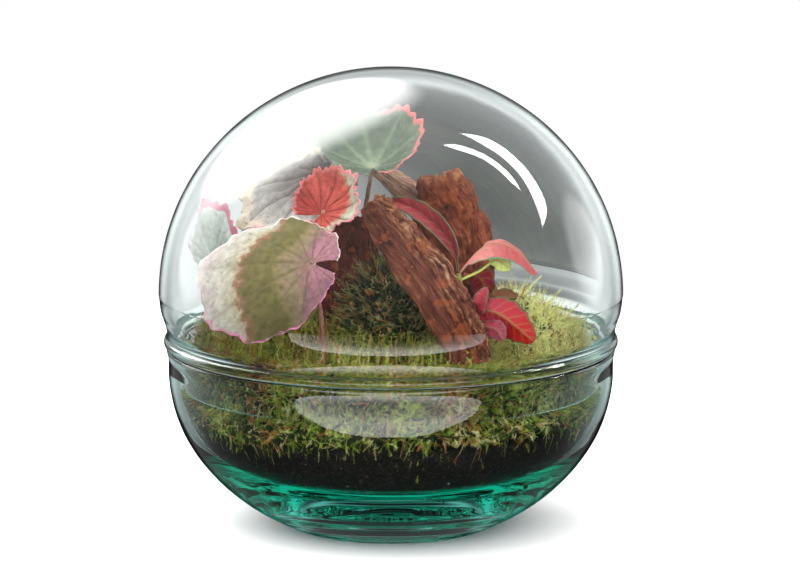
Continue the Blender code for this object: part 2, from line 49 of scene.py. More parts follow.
# The glass, as the model has it, except for its floor
BOWL_RADIUS = 110.4 * MM
BOWL_WIDEST_Z = 78.0 * MM
BOWL_DEPTH = 87.5 * MM
BOWL_WALL = 4.2 * MM
BOWL_FLOOR_Z = 11.0 * MM  # in the middle. The model's floor is 14.6 mm thick all over
RIM_Z = 89.3 * MM
RIM_BEAD_RADIUS = 111.4 * MM
RIM_INNER_RADIUS = 107.2 * MM
DOME_RADIUS = 115.0 * MM
DOME_WIDEST_Z = 115.5 * MM
DOME_HEIGHT = 112.3 * MM
DOME_WALL = 3.5 * MM
NECK_RADIUS = 111.3 * MM
NECK_Z = 99.0 * MM
DOME_BEAD_RADIUS = 112.0 * MM
COLLAR_RADIUS = 103.2 * MM
COLLAR_WALL = 2.4 * MM
COLLAR_BOTTOM_Z = 70.0 * MM
COLLAR_WAIST_Z = 80.0 * MM
HEEL = 15.0 * MM  # how much thicker the floor is where the wall begins
HEEL_FROM = 40.0 * MM  # radius where it starts to thicken
HEEL_REACH = 46.0 * MM  # how far out from there it thickens
GLASS_TURN = 224  # facets round the glass

# The planting
SOIL_EDGE_Z = 59.0 * MM
SOIL_CENTRE_Z = 66.0 * MM
MOSS_RADIUS = 98.0 * MM
MOSS_FOOT_Z = 66.0 * MM
MOSS_LEVEL_Z = 90.0 * MM
MOUND_RADIUS = 33.0 * MM
MOUND_EDGE_Z = 101.0 * MM
MOUND_TOP_Z = 132.0 * MM
PETIOLE_RADIUS = 1.2 * MM
SINUS = 0.35  # half angle of the notch where the petiole joins the blade, radians

# Kinds of node that come up often
MATH = "ShaderNodeMath"
RANGE = "ShaderNodeMapRange"
RAMP = "ShaderNodeValToRGB"
NOISE = "ShaderNodeTexNoise"
MARK = "ShaderNodeAttribute"
COORDINATES = "ShaderNodeTexCoord"
MIX = "ShaderNodeMix"
COLOUR = {"data_type": "RGBA"}  # for a mix of colours
SOFT = {"interpolation_type": "SMOOTHSTEP"}  # for a range that starts and ends softly


# ---------------------------------------------------------------- small tools


def srgb(code):
    """Linear RGBA of an sRGB hex colour."""
    channels = [int(code[i : i + 2], 16) / 255 for i in (0, 2, 4)]
    linear = [c / 12.92 if c <= 0.04045 else ((c + 0.055) / 1.055) ** 2.4 for c in channels]
    return (*linear, 1.0)


def node(tree, kind, inputs=(), stops=(), **settings):
    """Adds a node with its settings, its ramp stops and its inputs.

    Inputs are named in a dict, or come in the order of the sockets in use. Each is a value, a
    socket, or a node, whose first output in use is meant.
    """
    made = tree.nodes.new(kind)
    for name, value in settings.items():
        setattr(made, name, value)
    if stops:
        elements = made.color_ramp.elements
        while len(elements) < len(stops):
            elements.new(1.0)
        for element, (place, code) in zip(elements, stops):
            element.position = place
            element.color = srgb(code)
    if isinstance(inputs, dict):
        pairs = [(made.inputs[name], value) for name, value in inputs.items()]
    else:
        pairs = zip([socket for socket in made.inputs if socket.enabled], inputs)
    for socket, value in pairs:
        if isinstance(value, bpy.types.Node):
            value = next(output for output in value.outputs if output.enabled)
        if isinstance(value, bpy.types.NodeSocket):
            tree.links.new(value, socket)
        else:
            socket.default_value = value
    return made


def weighed_sum(tree, start, *terms):
    """The start plus each value times its weight."""
    for value, weight in terms:
        start = node(tree, MATH, (value, weight, start), operation="MULTIPLY_ADD")
    return start


def grain(tree, period_mm, detail=3.0):
    """A noise pattern on the piece, whose lumps are about period_mm across."""
    place = node(tree, COORDINATES).outputs["Object"]
    values = {"Vector": place, "Scale": 1 / (period_mm * MM), "Detail": detail, "Roughness": 0.5}
    return node(tree, NOISE, values)


def speckled(tree, colour, code, strength, level, *pattern):
    """The colour with specks of a second one, where a pattern of grain is above a level."""
    speck = node(tree, MATH, (grain(tree, *pattern), level), operation="GREATER_THAN")
    speck = node(tree, MATH, (speck, strength), operation="MULTIPLY")
    return node(tree, MIX, (speck, colour, srgb(code)), **COLOUR)


def material(name):
    """An empty material and its node tree."""
    made = bpy.data.materials.new(name)
    made.use_nodes = True
    made.node_tree.nodes.clear()
    return made, made.node_tree


def surfaced(tree, relief=None, relief_mm=0.0, **inputs):
    """A Principled surface on the material's output, with sockets named like Base_Color.

    relief is a pattern that stands up to relief_mm high.
    """
    values = {name.replace("_", " "): value for name, value in inputs.items()}
    if relief:
        bump_values = {"Height": relief, "Distance": relief_mm * MM, "Strength": 1.0}
        values["Normal"] = node(tree, "ShaderNodeBump", bump_values)
    shader = node(tree, "ShaderNodeBsdfPrincipled", values)
    return node(tree, "ShaderNodeOutputMaterial", {"Surface": shader})


def smooth_unit(value):
    value = min(1.0, max(0.0, value))
    return value * value * (3 - 2 * value)


def spline(points, t):
    """Value at t in 0..1 on a smooth curve through the points, which are vectors or numbers."""
    last = len(points) - 1
    place = min(max(t, 0.0), 1.0) * last
    i = min(int(place), last - 1)
    u = place - i
    before = points[max(i - 1, 0)]
    start = points[i]
    end = points[i + 1]
    after = points[min(i + 2, last)]
    return (
        start * 2
        + (end - before) * u
        + (before * 2 - start * 5 + end * 4 - after) * u * u
        + (start * 3 - before - end * 3 + after) * u * u * u
    ) * 0.5


def heading(points, t):
    """The way the curve through the points runs at t."""
    return (spline(points, min(1, t + 0.02)) - spline(points, max(0, t - 0.02))).normalized()


def mm_points(*rows):
    return [Vector(row) * MM for row in rows]


def rough_noise(x, y, z, octaves=4):
    """Fractal noise about -1..1, at a point in units of its largest lumps."""
    return noise.fractal(Vector((x, y, z)), 0.9, 2.1, octaves)


def grid_mesh(name, rows, around=False, caps=False, marks=None):
    """A smooth mesh over rows of points. around joins each row's ends, and caps closes both ends.

    marks are named values, one list for each row, stored on the points for the materials.
    """
    width = len(rows[0])
    points = [tuple(point) for row in rows for point in row]
    faces = []
    for i in range(len(rows) - 1):
        for k in range(width if around else width - 1):
            j = (k + 1) % width
            faces.append((i * width + k, i * width + j, (i + 1) * width + j, (i + 1) * width + k))
    if caps:
        faces.append(tuple(range(width))[::-1])
        faces.append(tuple(range((len(rows) - 1) * width, len(rows) * width)))
    mesh = bpy.data.meshes.new(name)
    mesh.from_pydata(points, [], faces)
    for mark, values in (marks or {}).items():
        flat = np.array(values, np.float32).ravel()
        mesh.attributes.new(mark, "FLOAT", "POINT").data.foreach_set("value", flat)
    mesh.shade_smooth()
    return mesh


def outward(mesh, weld_mm=0.001):
    """Merges doubled points and turns every face outwards."""
    bm = bmesh.new()
    bm.from_mesh(mesh)
    bmesh.ops.remove_doubles(bm, verts=bm.verts, dist=weld_mm * MM)
    bmesh.ops.recalc_face_normals(bm, faces=bm.faces)
    bm.to_mesh(mesh)
    bm.free()
    return mesh


def closed_fan(mesh, first_z, last_z, turn):
    """Closes both open ends of a turned surface with a point on the axis."""
    bm = bmesh.new()
    bm.from_mesh(mesh)
    bm.verts.ensure_lookup_table()
    total = len(bm.verts)
    for start, z in ((0, first_z), (total - turn, last_z)):
        pole = bm.verts.new((0, 0, z))
        bm.verts.ensure_lookup_table()
        for k in range(turn):
            face = bm.faces.new((bm.verts[start + k], bm.verts[start + (k + 1) % turn], pole))
            face.smooth = True
    bmesh.ops.recalc_face_normals(bm, faces=bm.faces)
    bm.to_mesh(mesh)
    bm.free()
    return mesh


def shown(name, mesh, *finishes):
    obj = bpy.data.objects.new(name, mesh)
    bpy.context.scene.collection.objects.link(obj)
    if finishes:
        obj.data.materials.clear()
    for finish in finishes:
        obj.data.materials.append(finish)
    return obj


def baked(obj):
    """Turns the object's modifiers into a plain mesh."""
    bpy.context.view_layer.update()
    graph = bpy.context.evaluated_depsgraph_get()
    mesh = bpy.data.meshes.new_from_object(obj.evaluated_get(graph))
    obj.modifiers.clear()
    obj.data = mesh
    return obj


def joined(first, *others):
    """One object from several, which keep their materials and marks."""
    with bpy.context.temp_override(active_object=first, selected_editable_objects=[first, *others]):
        bpy.ops.object.join()
    return first


def fitted(piece, slot, *nodes):
    """The piece stands for its model nodes, which are hidden, and hangs from the root body. The slot is not
    used.
    """
    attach(piece, "root")
    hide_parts(*nodes)


# ---------------------------------------------------------------- view and light


def make_camera():
    data = bpy.data.cameras.new("camera")
    data.lens = 226.5
    data.clip_end = 20
    camera = bpy.data.objects.new("camera", data)
    camera.location = (0.0045, -2.454, 0.566)
    camera.rotation_euler = (math.radians(90 - 10.4), 0, 0)
    bpy.context.scene.collection.objects.link(camera)
    bpy.context.scene.camera = camera


# The room. Its directions are the way that a ray goes
PALE = 1.0  # brightness of the room behind the jar
DOORWAY_SHADE = 0.13
DOORWAY_WAY = (0.052, 0.99, -0.1)
BEHIND_WAY = (0, 0.98, -0.18)  # straight through the jar, as the camera looks
RISING_WAY = (0, 0.98, 0.18)  # where a ray goes that the base's underside has turned up
WINDOW_WAY = (-0.42, 0.58, 0.69)
WINDOW_LIGHT = 12.0
SIDE_WAYS = (-0.85, 0.49, 0.12), (0.85, 0.49, 0.12)
SIDE_LIGHT = 2.4
STRIP_LIGHT = 25.0
STRIPS = (  # axis of the cone that the strip lies on, its cosine, middle, half width, cosine of its reach
    ((0.59, -0.182, 0.787), 0.851, (0.70, 0.30, 0.65), 0.034, 0.91),
    ((0.519, -0.429, 0.739), 0.809, (0.56, 0.17, 0.81), 0.02, 0.955),
)

# The card in front of the bowl
CARD_Y = -0.22
CARD_TOP = 0.11  # it is the lower half of an oval, with its straight edge on top
CARD_DEPTH = 0.117
CARD_HALF_WIDTH = 0.226
CARD_LEFT = 0.016  # how far left of the middle it stands
CARD_LIGHT = 5.2  # at its foot. It fades out upwards


def make_floor():
    """A pale table top that ends behind the jar."""
    finish, tree = material("matt_white_laminate")
    surfaced(tree, Base_Color=(0.84, 0.84, 0.84, 1), Roughness=0.7, Specular_IOR_Level=0.2)
    rows = [[(x, y, 0) for x in (-3.5, 3.5)] for y in (-3.5, 0.62)]
    floor = shown("floor", grid_mesh("floor", rows), finish)
    floor.visible_glossy = False
    floor.visible_transmission = False  # the room's own white stands for it through the glass


def make_card():
    """A low pale card in front of the bowl, which is seen only as a reflection in it."""
    finish, tree = material("pale_card")
    place = node(tree, COORDINATES).outputs["Object"]
    tall = node(tree, "ShaderNodeSeparateXYZ", (place,)).outputs["Z"]
    values = {"Value": tall, "From Min": 0.03, "From Max": 0.07, "To Min": CARD_LIGHT, "To Max": 0.0}
    light = node(tree, "ShaderNodeEmission", ((1, 1, 0.98, 1), node(tree, RANGE, values)))
    node(tree, "ShaderNodeOutputMaterial", {"Surface": light})
    oval = []
    for i in range(41):
        turn = math.pi * (1 + i / 40)
        oval.append((CARD_HALF_WIDTH * math.cos(turn) - CARD_LEFT, CARD_TOP + CARD_DEPTH * math.sin(turn)))
    rows = [[(x, CARD_Y, z) for x, z in oval], [(x, CARD_Y, CARD_TOP) for x, _ in oval]]
    card = shown("card", grid_mesh("card", rows), finish)
    for way in ("camera", "diffuse", "transmission", "volume_scatter", "shadow"):
        setattr(card, "visible_" + way, False)


def toward(tree, *way):
    """How nearly the ray goes a given way: 1 along it, 0.955 at 17 degrees off it, 0 square to it."""
    ray = node(tree, COORDINATES).outputs["Generated"]
    values = (ray, Vector(way).normalized())
    return node(tree, "ShaderNodeVectorMath", values, operation="DOT_PRODUCT").outputs["Value"]


def planting_light(tree, rise):
    """What lights the planting: the ceiling, a window at the left, and a little from the front."""
    ceiling = node(tree, RANGE, (rise, 0.0, 0.9), **SOFT)
    left = node(tree, RANGE, (toward(tree, -0.6, 0.1, 0.75), 0.4, 1.0), **SOFT)
    front = node(tree, RANGE, (toward(tree, 0.1, -0.9, 0.3), 0.3, 1.0), **SOFT)
    return weighed_sum(tree, 0.42, (ceiling, 1.9), (left, 1.8), (front, 2.2))


def room_behind(tree, rise):
    """What shows through the glass: a white room, and a dim doorway just right of straight behind."""
    doorway = (toward(tree, *DOORWAY_WAY), math.cos(0.115), math.cos(0.05))
    doorway = node(tree, RANGE, doorway, **SOFT)
    lintel = node(tree, RANGE, (rise, 0.02, -0.04), **SOFT)
    doorway = node(tree, MATH, (doorway, lintel), operation="MULTIPLY")
    shade = weighed_sum(tree, PALE, (doorway, DOORWAY_SHADE - PALE))
    straight = node(tree, RANGE, (toward(tree, *BEHIND_WAY), 0.6, 0.82), **SOFT)
    table = node(tree, RANGE, (rise, -0.3, -0.45), **SOFT)
    full = node(tree, MATH, (straight, table), operation="MAXIMUM")
    shade = node(tree, MATH, (shade, weighed_sum(tree, 0.75, (full, 0.25))), operation="MULTIPLY")
    table_edge = node(tree, RANGE, (rise, -0.2, -0.3), **SOFT)
    return weighed_sum(tree, shade, (table_edge, 0.35))


def strip(tree, axis, level, middle, half_width, reach):
    """A bent strip of light: a stretch of the cone round an axis."""
    near = node(tree, RANGE, (toward(tree, *middle), reach, 0.985), **SOFT)
    off = node(tree, MATH, (toward(tree, *axis), level), operation="SUBTRACT")
    off = node(tree, MATH, (off,), operation="ABSOLUTE")
    off = node(tree, MATH, (off, half_width), operation="DIVIDE")
    lit = node(tree, MATH, (near, off), operation="SUBTRACT")
    return node(tree, RANGE, (lit, 0.0, 0.2), **SOFT)


def mirrored_room(tree, rise, depth):
    """What the glass mirrors: dark in front, bright behind, and the lights that give its highlights.

    They are a large window high at the left, two bent strips high at the right, and a patch at each
    side that brightens the beads at the rim.
    """
    low = node(tree, RANGE, (rise, -0.3, 0.6), **SOFT)
    overhead = node(tree, RANGE, (rise, 0.86, 0.97), **SOFT)
    front = weighed_sum(tree, 0.02, (low, 0.3), (overhead, 0.8))
    back = weighed_sum(tree, 0.15, (node(tree, RANGE, (rise, -0.3, 0.1), **SOFT), 0.75))
    off_line = node(tree, RANGE, (toward(tree, *BEHIND_WAY), 0.955, 0.90), **SOFT)
    back = node(tree, MATH, (back, weighed_sum(tree, 0.1, (off_line, 0.9))), operation="MULTIPLY")
    more = node(tree, MATH, (back, front), operation="SUBTRACT")
    behind = node(tree, RANGE, (depth, 0.05, 0.75), **SOFT)
    sides = [node(tree, RANGE, (toward(tree, *way), 0.955, 0.985), **SOFT) for way in SIDE_WAYS]
    sides = node(tree, MATH, sides, operation="MAXIMUM")
    window = node(tree, RANGE, (toward(tree, *WINDOW_WAY), 0.83, 0.94), **SOFT)
    lights = [(strip(tree, *place), STRIP_LIGHT) for place in STRIPS]
    return weighed_sum(tree, front, (behind, more), (sides, SIDE_LIGHT), (window, WINDOW_LIGHT), *lights)


def light_in_base(tree, rise, across, depth):
    """What a ray meets that bounced about inside the glass, which is what lights up the thick base.

    It comes from behind, and is dimmer straight behind, so the base is darker in its middle.
    """
    behind = node(tree, RANGE, (depth, -0.4, 0.3), **SOFT)
    above = node(tree, RANGE, (rise, -0.6, -0.35), **SOFT)
    inner = node(tree, MATH, (behind, above), operation="MULTIPLY")
    off_line = node(tree, RANGE, (toward(tree, *BEHIND_WAY), 1.0, 0.945), **SOFT)
    inner = node(tree, MATH, (inner, off_line), operation="MULTIPLY")
    side = node(tree, MATH, (across,), operation="ABSOLUTE")
    side = node(tree, MATH, (side, rise), operation="SUBTRACT")
    near = weighed_sum(tree, 0.25, (node(tree, RANGE, (side, 0.8, 0.35), **SOFT), 0.75))
    inner = node(tree, MATH, (inner, near), operation="MULTIPLY")
    middle = node(tree, RANGE, (toward(tree, *RISING_WAY), 0.955, 1.0), **SOFT)
    inner = node(tree, MATH, (inner, weighed_sum(tree, 1.0, (middle, -0.7))), operation="MULTIPLY")
    return weighed_sum(tree, 0.02, (inner, 1.2))


def make_world():
    """A soft white room, which is different for each use that the light path makes of it."""
    world = bpy.data.worlds.new("soft_studio")
    world.use_nodes = True
    tree = world.node_tree
    tree.nodes.clear()
    ray = node(tree, COORDINATES).outputs["Generated"]
    across, depth, rise = node(tree, "ShaderNodeSeparateXYZ", (ray,)).outputs
    path = node(tree, "ShaderNodeLightPath").outputs
    seen = node(tree, MATH, (path["Diffuse Depth"], 0.5), operation="LESS_THAN")
    mirrored = node(tree, MATH, (path["Glossy Depth"], 0.5), operation="GREATER_THAN")
    mirrored = node(tree, MATH, (seen, mirrored), operation="MULTIPLY")
    inside = node(tree, MATH, (path["Transmission Depth"], 0.5), operation="GREATER_THAN")
    in_glass = light_in_base(tree, rise, across, depth)
    glow = node(tree, MIX, (inside, mirrored_room(tree, rise, depth), in_glass))
    shade = node(tree, MIX, (seen, planting_light(tree, rise), room_behind(tree, rise)))
    shade = node(tree, MIX, (mirrored, shade, glow))
    shade = node(tree, MIX, (path["Is Camera Ray"], shade, PALE))
    light = node(tree, "ShaderNodeBackground", ((1, 1, 1, 1), shade))
    node(tree, "ShaderNodeOutputWorld", {"Surface": light})
    bpy.context.scene.world = world
    bpy.context.scene.view_settings.view_transform = "Standard"


# ---------------------------------------------------------------- glass


def bowl_outer_radius(z):
    return BOWL_RADIUS * math.sqrt(max(0.0, 1 - ((z - BOWL_WIDEST_Z) / BOWL_DEPTH) ** 2))


def bowl_inner_z(radius):
    """Height of the bowl's inside: the wall's curve, blended into the thick floor."""
    share = min(1.0, radius / (BOWL_RADIUS - BOWL_WALL))
    wall_z = BOWL_WIDEST_Z - (BOWL_DEPTH - BOWL_WALL) * math.sqrt(1 - share * share)
    floor_z = BOWL_FLOOR_Z + HEEL * smooth_unit((radius - HEEL_FROM) / HEEL_REACH)
    return (max(wall_z, 0.0) ** 4 + floor_z**4) ** 0.25


def bowl_inside(steps):
    """Inner profile of the bowl from the floor's centre up to its widest height."""
    reach = BOWL_RADIUS - BOWL_WALL
    radii = [reach * math.sin(math.pi / 2 * i / steps) for i in range(steps)]
    return [(r, bowl_inner_z(r)) for r in radii] + [(reach, BOWL_WIDEST_Z)]


INSIDE = bowl_inside(80)
INSIDE_R = [r for r, _ in INSIDE]
INSIDE_Z = [z for _, z in INSIDE]


def clear_radius(z):
    """How far out the planting may reach at each height, inside the bowl, the collar or the dome."""
    z = np.asarray(z, float)
    bowl = np.interp(z, INSIDE_Z[10:], INSIDE_R[10:]) - 0.25 * MM
    collar = COLLAR_RADIUS - COLLAR_WALL - 0.5 * MM
    up = np.clip((z - DOME_WIDEST_Z) / (DOME_HEIGHT - DOME_WALL), 0, 0.999)
    dome = (DOME_RADIUS - DOME_WALL) * np.sqrt(1 - up**2) - 0.8 * MM
    dome = np.minimum(dome, np.interp(z, (0.095, 0.108), (collar + 3 * MM, DOME_RADIUS - DOME_WALL - MM)))
    inside = np.where(z < RIM_Z + 6 * MM, collar, dome)
    return np.where(z > COLLAR_BOTTOM_Z - 1 * MM, inside, bowl)


def rounded(points, cuts=6):
    """Cuts corners over and over (Chaikin), so a profile of straight runs becomes a smooth one."""
    for _ in range(cuts):
        smooth = [points[0]]
        for (ar, az), (br, bz) in zip(points, points[1:]):
            smooth.append((ar * 0.75 + br * 0.25, az * 0.75 + bz * 0.25))
            smooth.append((ar * 0.25 + br * 0.75, az * 0.25 + bz * 0.75))
        points = smooth + [points[-1]]
    return points


def lathe(name, profile, waver=0.0):
    """A closed solid of revolution from a profile that starts and ends on the axis.

    waver is how far a blown wall strays from round.
    """
    rows = []
    for r, z in profile[1:-1]:
        row = []
        for k in range(GLASS_TURN):
            angle = 2 * math.pi * k / GLASS_TURN
            stray = waver * rough_noise(math.cos(angle) * 2, math.sin(angle) * 2, z / (18 * MM), 2)
            radius = r + stray * min(1.0, r / (40 * MM))
            row.append((radius * math.cos(angle), radius * math.sin(angle), z))
        rows.append(row)
    mesh = grid_mesh(name, rows, around=True)
    return closed_fan(mesh, profile[0][1], profile[-1][1], GLASS_TURN)


def glass_material(name, density, ripple_mm):
    """Soda-lime glass, blown: clear and glossy, with a green that only shows through its thickness.

    The faint ripple is what a mould and the blowing leave.
    """
    finish, tree = material(name)
    values = {"Base_Color": (1, 1, 1, 1), "Roughness": 0.0, "IOR": 1.5, "Transmission_Weight": 1.0}
    output = surfaced(tree, grain(tree, 34, 1.0), ripple_mm, **values)
    green = {"Color": (0.0, 0.85, 0.76, 1), "Density": density}
    depth = node(tree, "ShaderNodeVolumeAbsorption", green)
    tree.links.new(depth.outputs[0], output.inputs["Volume"])
    return finish


def base_ripples(profile):
    """Concentric rings that the mould left in the thick base, under 0.4 mm deep."""
    waved = []
    for r, z in profile:
        share = smooth_unit((80 * MM - r) / (30 * MM)) * smooth_unit(r / (8 * MM))
        rings = math.sin(r / (2.1 * MM)) + 0.6 * math.sin(r / (1.3 * MM) + 1)
        waved.append((r, z + 0.24 * MM * share * rings))
    return waved


def make_bowl():
    inside = base_ripples(bowl_inside(90))
    rim = rounded(
        [
            inside[-1],
            (RIM_INNER_RADIUS - 0.4 * MM, RIM_Z - 6 * MM),
            (RIM_INNER_RADIUS, RIM_Z - 2.2 * MM),
            (RIM_INNER_RADIUS + 0.5 * MM, RIM_Z),
            (RIM_BEAD_RADIUS - 0.6 * MM, RIM_Z),
            (RIM_BEAD_RADIUS, RIM_Z - 1.4 * MM),
            (BOWL_RADIUS + 0.1 * MM, RIM_Z - 4.6 * MM),
            (BOWL_RADIUS, BOWL_WIDEST_Z),
        ],
        3,
    )
    steps = 110
    heights = [BOWL_WIDEST_Z * (1 - (i / steps) ** 0.8) for i in range(1, steps + 1)]
    outside = [(bowl_outer_radius(z), z) for z in heights]
    base = [(outside[-1][0] * (1 - i / 40), 0.0) for i in range(1, 41)]
    under = [(r, 0.4 * MM * smooth_unit((48 * MM - r) / (6 * MM))) for r, _ in base]
    under = [(r, max(0.0, z)) for r, z in base_ripples(under)]
    finish = glass_material("soda_lime_glass_bowl", 27.0, 0.05)
    mesh = lathe("bowl_glass", inside + rim[1:] + outside + under, 0.12 * MM)
    bowl = shown("bowl_glass", mesh, finish)
    fitted(bowl, "soda_lime_glass", "glass_bowl")


def dome_arc(inset, steps):
    """Quarter ellipse from the top centre down to the dome's widest ring."""
    angles = [math.pi / 2 * i / steps for i in range(steps + 1)]
    width = DOME_RADIUS - inset
    height = DOME_HEIGHT - inset
    return [(width * math.sin(a), DOME_WIDEST_Z + height * math.cos(a)) for a in angles]


def make_dome():
    outer = dome_arc(0, 90)
    inner = dome_arc(DOME_WALL, 90)
    skirt = rounded(
        [
            outer[-1],
            (DOME_RADIUS - 0.7 * MM, 108.0 * MM),
            (NECK_RADIUS + 1.2 * MM, 103.0 * MM),
            (NECK_RADIUS, NECK_Z),
            (NECK_RADIUS - 0.2 * MM, 95.3 * MM),
            (NECK_RADIUS + 0.3 * MM, 94.3 * MM),
            (DOME_BEAD_RADIUS + 0.5 * MM, 93.8 * MM),
            (DOME_BEAD_RADIUS + 0.7 * MM, 91.6 * MM),
            (DOME_BEAD_RADIUS - 0.5 * MM, RIM_Z + GAP),
            (RIM_INNER_RADIUS + 0.4 * MM, RIM_Z + GAP),
            (COLLAR_RADIUS + 2.4 * MM, RIM_Z - 2.4 * MM),
            (COLLAR_RADIUS + 1.2 * MM, COLLAR_WAIST_Z),
            (COLLAR_RADIUS, COLLAR_BOTTOM_Z + 1.2 * MM),
            (COLLAR_RADIUS - COLLAR_WALL / 2, COLLAR_BOTTOM_Z),
            (COLLAR_RADIUS - COLLAR_WALL, COLLAR_BOTTOM_Z + 1.2 * MM),
            (COLLAR_RADIUS - 1.4 * MM, COLLAR_WAIST_Z),
            (COLLAR_RADIUS + 0.2 * MM, RIM_Z),
            (NECK_RADIUS - 5.0 * MM, 95.5 * MM),
            (NECK_RADIUS - 3.6 * MM, NECK_Z),
            (NECK_RADIUS - 2.1 * MM, 104.5 * MM),
            (DOME_RADIUS - DOME_WALL - 0.8 * MM, 108.5 * MM),
            inner[-1],
        ],
        3,
    )
    finish = glass_material("soda_lime_glass_dome", 13.0, 0.04)
    mesh = lathe("dome_glass", outer + skirt[1:-1] + inner[::-1], 0.1 * MM)
    dome = shown("dome_glass", mesh, finish)
    fitted(dome, "soda_lime_glass", "glass_dome")


# ---------------------------------------------------------------- scattering


def scatter_tree(name, shapes, finish):
    """Geometry Nodes: spreads copies of the shapes over a surface, leaning at random, each with a tone."""
    tree = bpy.data.node_groups.new(name, "GeometryNodeTree")
    face = tree.interface
    face.new_socket("Geometry", in_out="OUTPUT", socket_type="NodeSocketGeometry")
    face.new_socket("Geometry", in_out="INPUT", socket_type="NodeSocketGeometry")
    for label in ("Count per area", "Smallest", "Largest", "Lean"):
        face.new_socket(label, in_out="INPUT", socket_type="NodeSocketFloat")
    face.new_socket("Seed", in_out="INPUT", socket_type="NodeSocketInt")
    given = node(tree, "NodeGroupInput").outputs

    cover = node(tree, "GeometryNodeInputNamedAttribute", {"Name": "cover"}, data_type="FLOAT")
    count = node(tree, MATH, (given["Count per area"], cover), operation="MULTIPLY")
    values = {"Mesh": given["Geometry"], "Density": count, "Seed": given["Seed"]}
    spots = node(tree, "GeometryNodeDistributePointsOnFaces", values).outputs

    def chance(low, high, offset, data_type="FLOAT"):
        seed = node(tree, MATH, (given["Seed"], offset), operation="ADD")
        made = node(tree, "FunctionNodeRandomValue", (low, high), data_type=data_type)
        tree.links.new(seed.outputs[0], made.inputs["Seed"])
        return made

    spin = chance(0.0, 2 * math.pi, 1)
    tip = node(tree, MATH, (chance(0.0, 1.0, 2), 0.6), operation="POWER")
    lean = node(tree, MATH, (tip, given["Lean"]), operation="MULTIPLY")
    turn = {"X": lean, "Z": chance(0.0, 2 * math.pi, 5)}
    rotation = spots["Rotation"]
    for angles in ({"Z": spin}, turn):
        angles = node(tree, "ShaderNodeCombineXYZ", angles)
        angles = node(tree, "FunctionNodeEulerToRotation", (angles,))
        values = {"Rotation": rotation, "Rotate By": angles}
        rotation = node(tree, "FunctionNodeRotateRotation", values, rotation_space="LOCAL")

    pieces = node(tree, "GeometryNodeJoinGeometry")
    for shape in shapes:
        info = node(tree, "GeometryNodeObjectInfo", {"Object": shape, "As Instance": True})
        tree.links.new(info.outputs["Geometry"], pieces.inputs[0])
    values = {
        "Points": spots["Points"],
        "Instance": pieces,
        "Pick Instance": True,
        "Instance Index": chance(0, len(shapes) - 1, 3, "INT"),
        "Rotation": rotation,
        "Scale": chance(given["Smallest"], given["Largest"], 4),
    }
    copies = node(tree, "GeometryNodeInstanceOnPoints", values)
    values = {"Geometry": copies, "Name": "tone", "Value": chance(0.0, 1.0, 6)}
    kept = {"data_type": "FLOAT", "domain": "INSTANCE"}
    toned = node(tree, "GeometryNodeStoreNamedAttribute", values, **kept)
    real = node(tree, "GeometryNodeRealizeInstances", {"Geometry": toned})
    coated = node(tree, "GeometryNodeSetMaterial", {"Geometry": real, "Material": finish})
    node(tree, "NodeGroupOutput", {"Geometry": coated})
    return tree


def scattered(name, rows, marks, shapes, finish, **values):
    """A plain mesh of copies of the shapes, spread over the rows where their cover mark allows."""
    for shape in shapes:
        shape.data.materials.clear()
        shape.data.materials.append(finish)
    tree = scatter_tree(name, shapes, finish)
    host = shown(name, grid_mesh(name, rows, around=True, marks=marks))
    spread = host.modifiers.new("scatter", "NODES")
    spread.node_group = tree
    for socket in tree.interface.items_tree:
        key = socket.name.replace(" ", "_").lower()
        if socket.in_out == "INPUT" and key in values:
            spread[socket.identifier] = values[key]
    return baked(host)


def pressed(obj, low_z=0.0):
    """Presses a piece against the inside of the glass where it would reach into it."""
    mesh = obj.data
    points = np.empty(len(mesh.vertices) * 3, np.float32)
    mesh.vertices.foreach_get("co", points)
    points = points.reshape(-1, 3)
    points[:, 2] = np.maximum(points[:, 2], low_z)
    radius = np.hypot(points[:, 0], points[:, 1])
    limit = clear_radius(points[:, 2])
    share = np.minimum(1.0, limit / np.maximum(radius, 1e-6))
    points[:, :2] *= share[:, None]
    mesh.vertices.foreach_set("co", points.ravel())
    mesh.update()
    return obj


def sprig(name, length, leaflets, leaflet_mm, splay, bend, segments=3):
    """A shoot of feather moss: a bent stem with thin pointed leaflets on both sides."""
    bm = bmesh.new()
    along = bm.verts.layers.float.new("along")
    half = 0.14 * MM

    def spot(t):
        return Vector((0, bend * length * t * t, length * t * (1 - 0.25 * bend * t))) * MM

    def corner(place, t):
        made = bm.verts.new(place)
        made[along] = t
        return made

    sides = []
    for i in range(segments + 1):
        t = i / segments
        width = half * (1 - 0.7 * t)
        centre = spot(t)
        sides.append((corner(centre - Vector((width, 0, 0)), t), corner(centre + Vector((width, 0, 0)), t)))
    for (a, b), (c, d) in zip(sides, sides[1:]):
        bm.faces.new((a, b, d, c))
    for i in range(leaflets):
        t = 0.18 + 0.82 * i / (leaflets - 1)
        root = spot(t * 0.97)
        side = 1 if i % 2 else -1
        reach = leaflet_mm * MM * (1 - 0.45 * t)
        turn = splay * (1 - 0.5 * t)
        out = Vector((side * math.sin(turn), 0.35 * math.sin(i * 2.4), math.cos(turn)))
        base = Vector((0, 0, 0.34 * MM))
        bm.faces.new(
            (corner(root - base, t), corner(root + base, t), corner(root + out * reach, min(1, t + 0.3)))
        )
    mesh = bpy.data.meshes.new(name)
    bm.to_mesh(mesh)
    bm.free()
    return mesh


def copied_shapes(name, maker, *specs):
    """Shapes to be copied, one for each spec. They aren't in the scene themselves."""
    labels = [f"{name}_{number}" for number in range(len(specs))]
    return [bpy.data.objects.new(label, maker(label, *spec)) for label, spec in zip(labels, specs)]


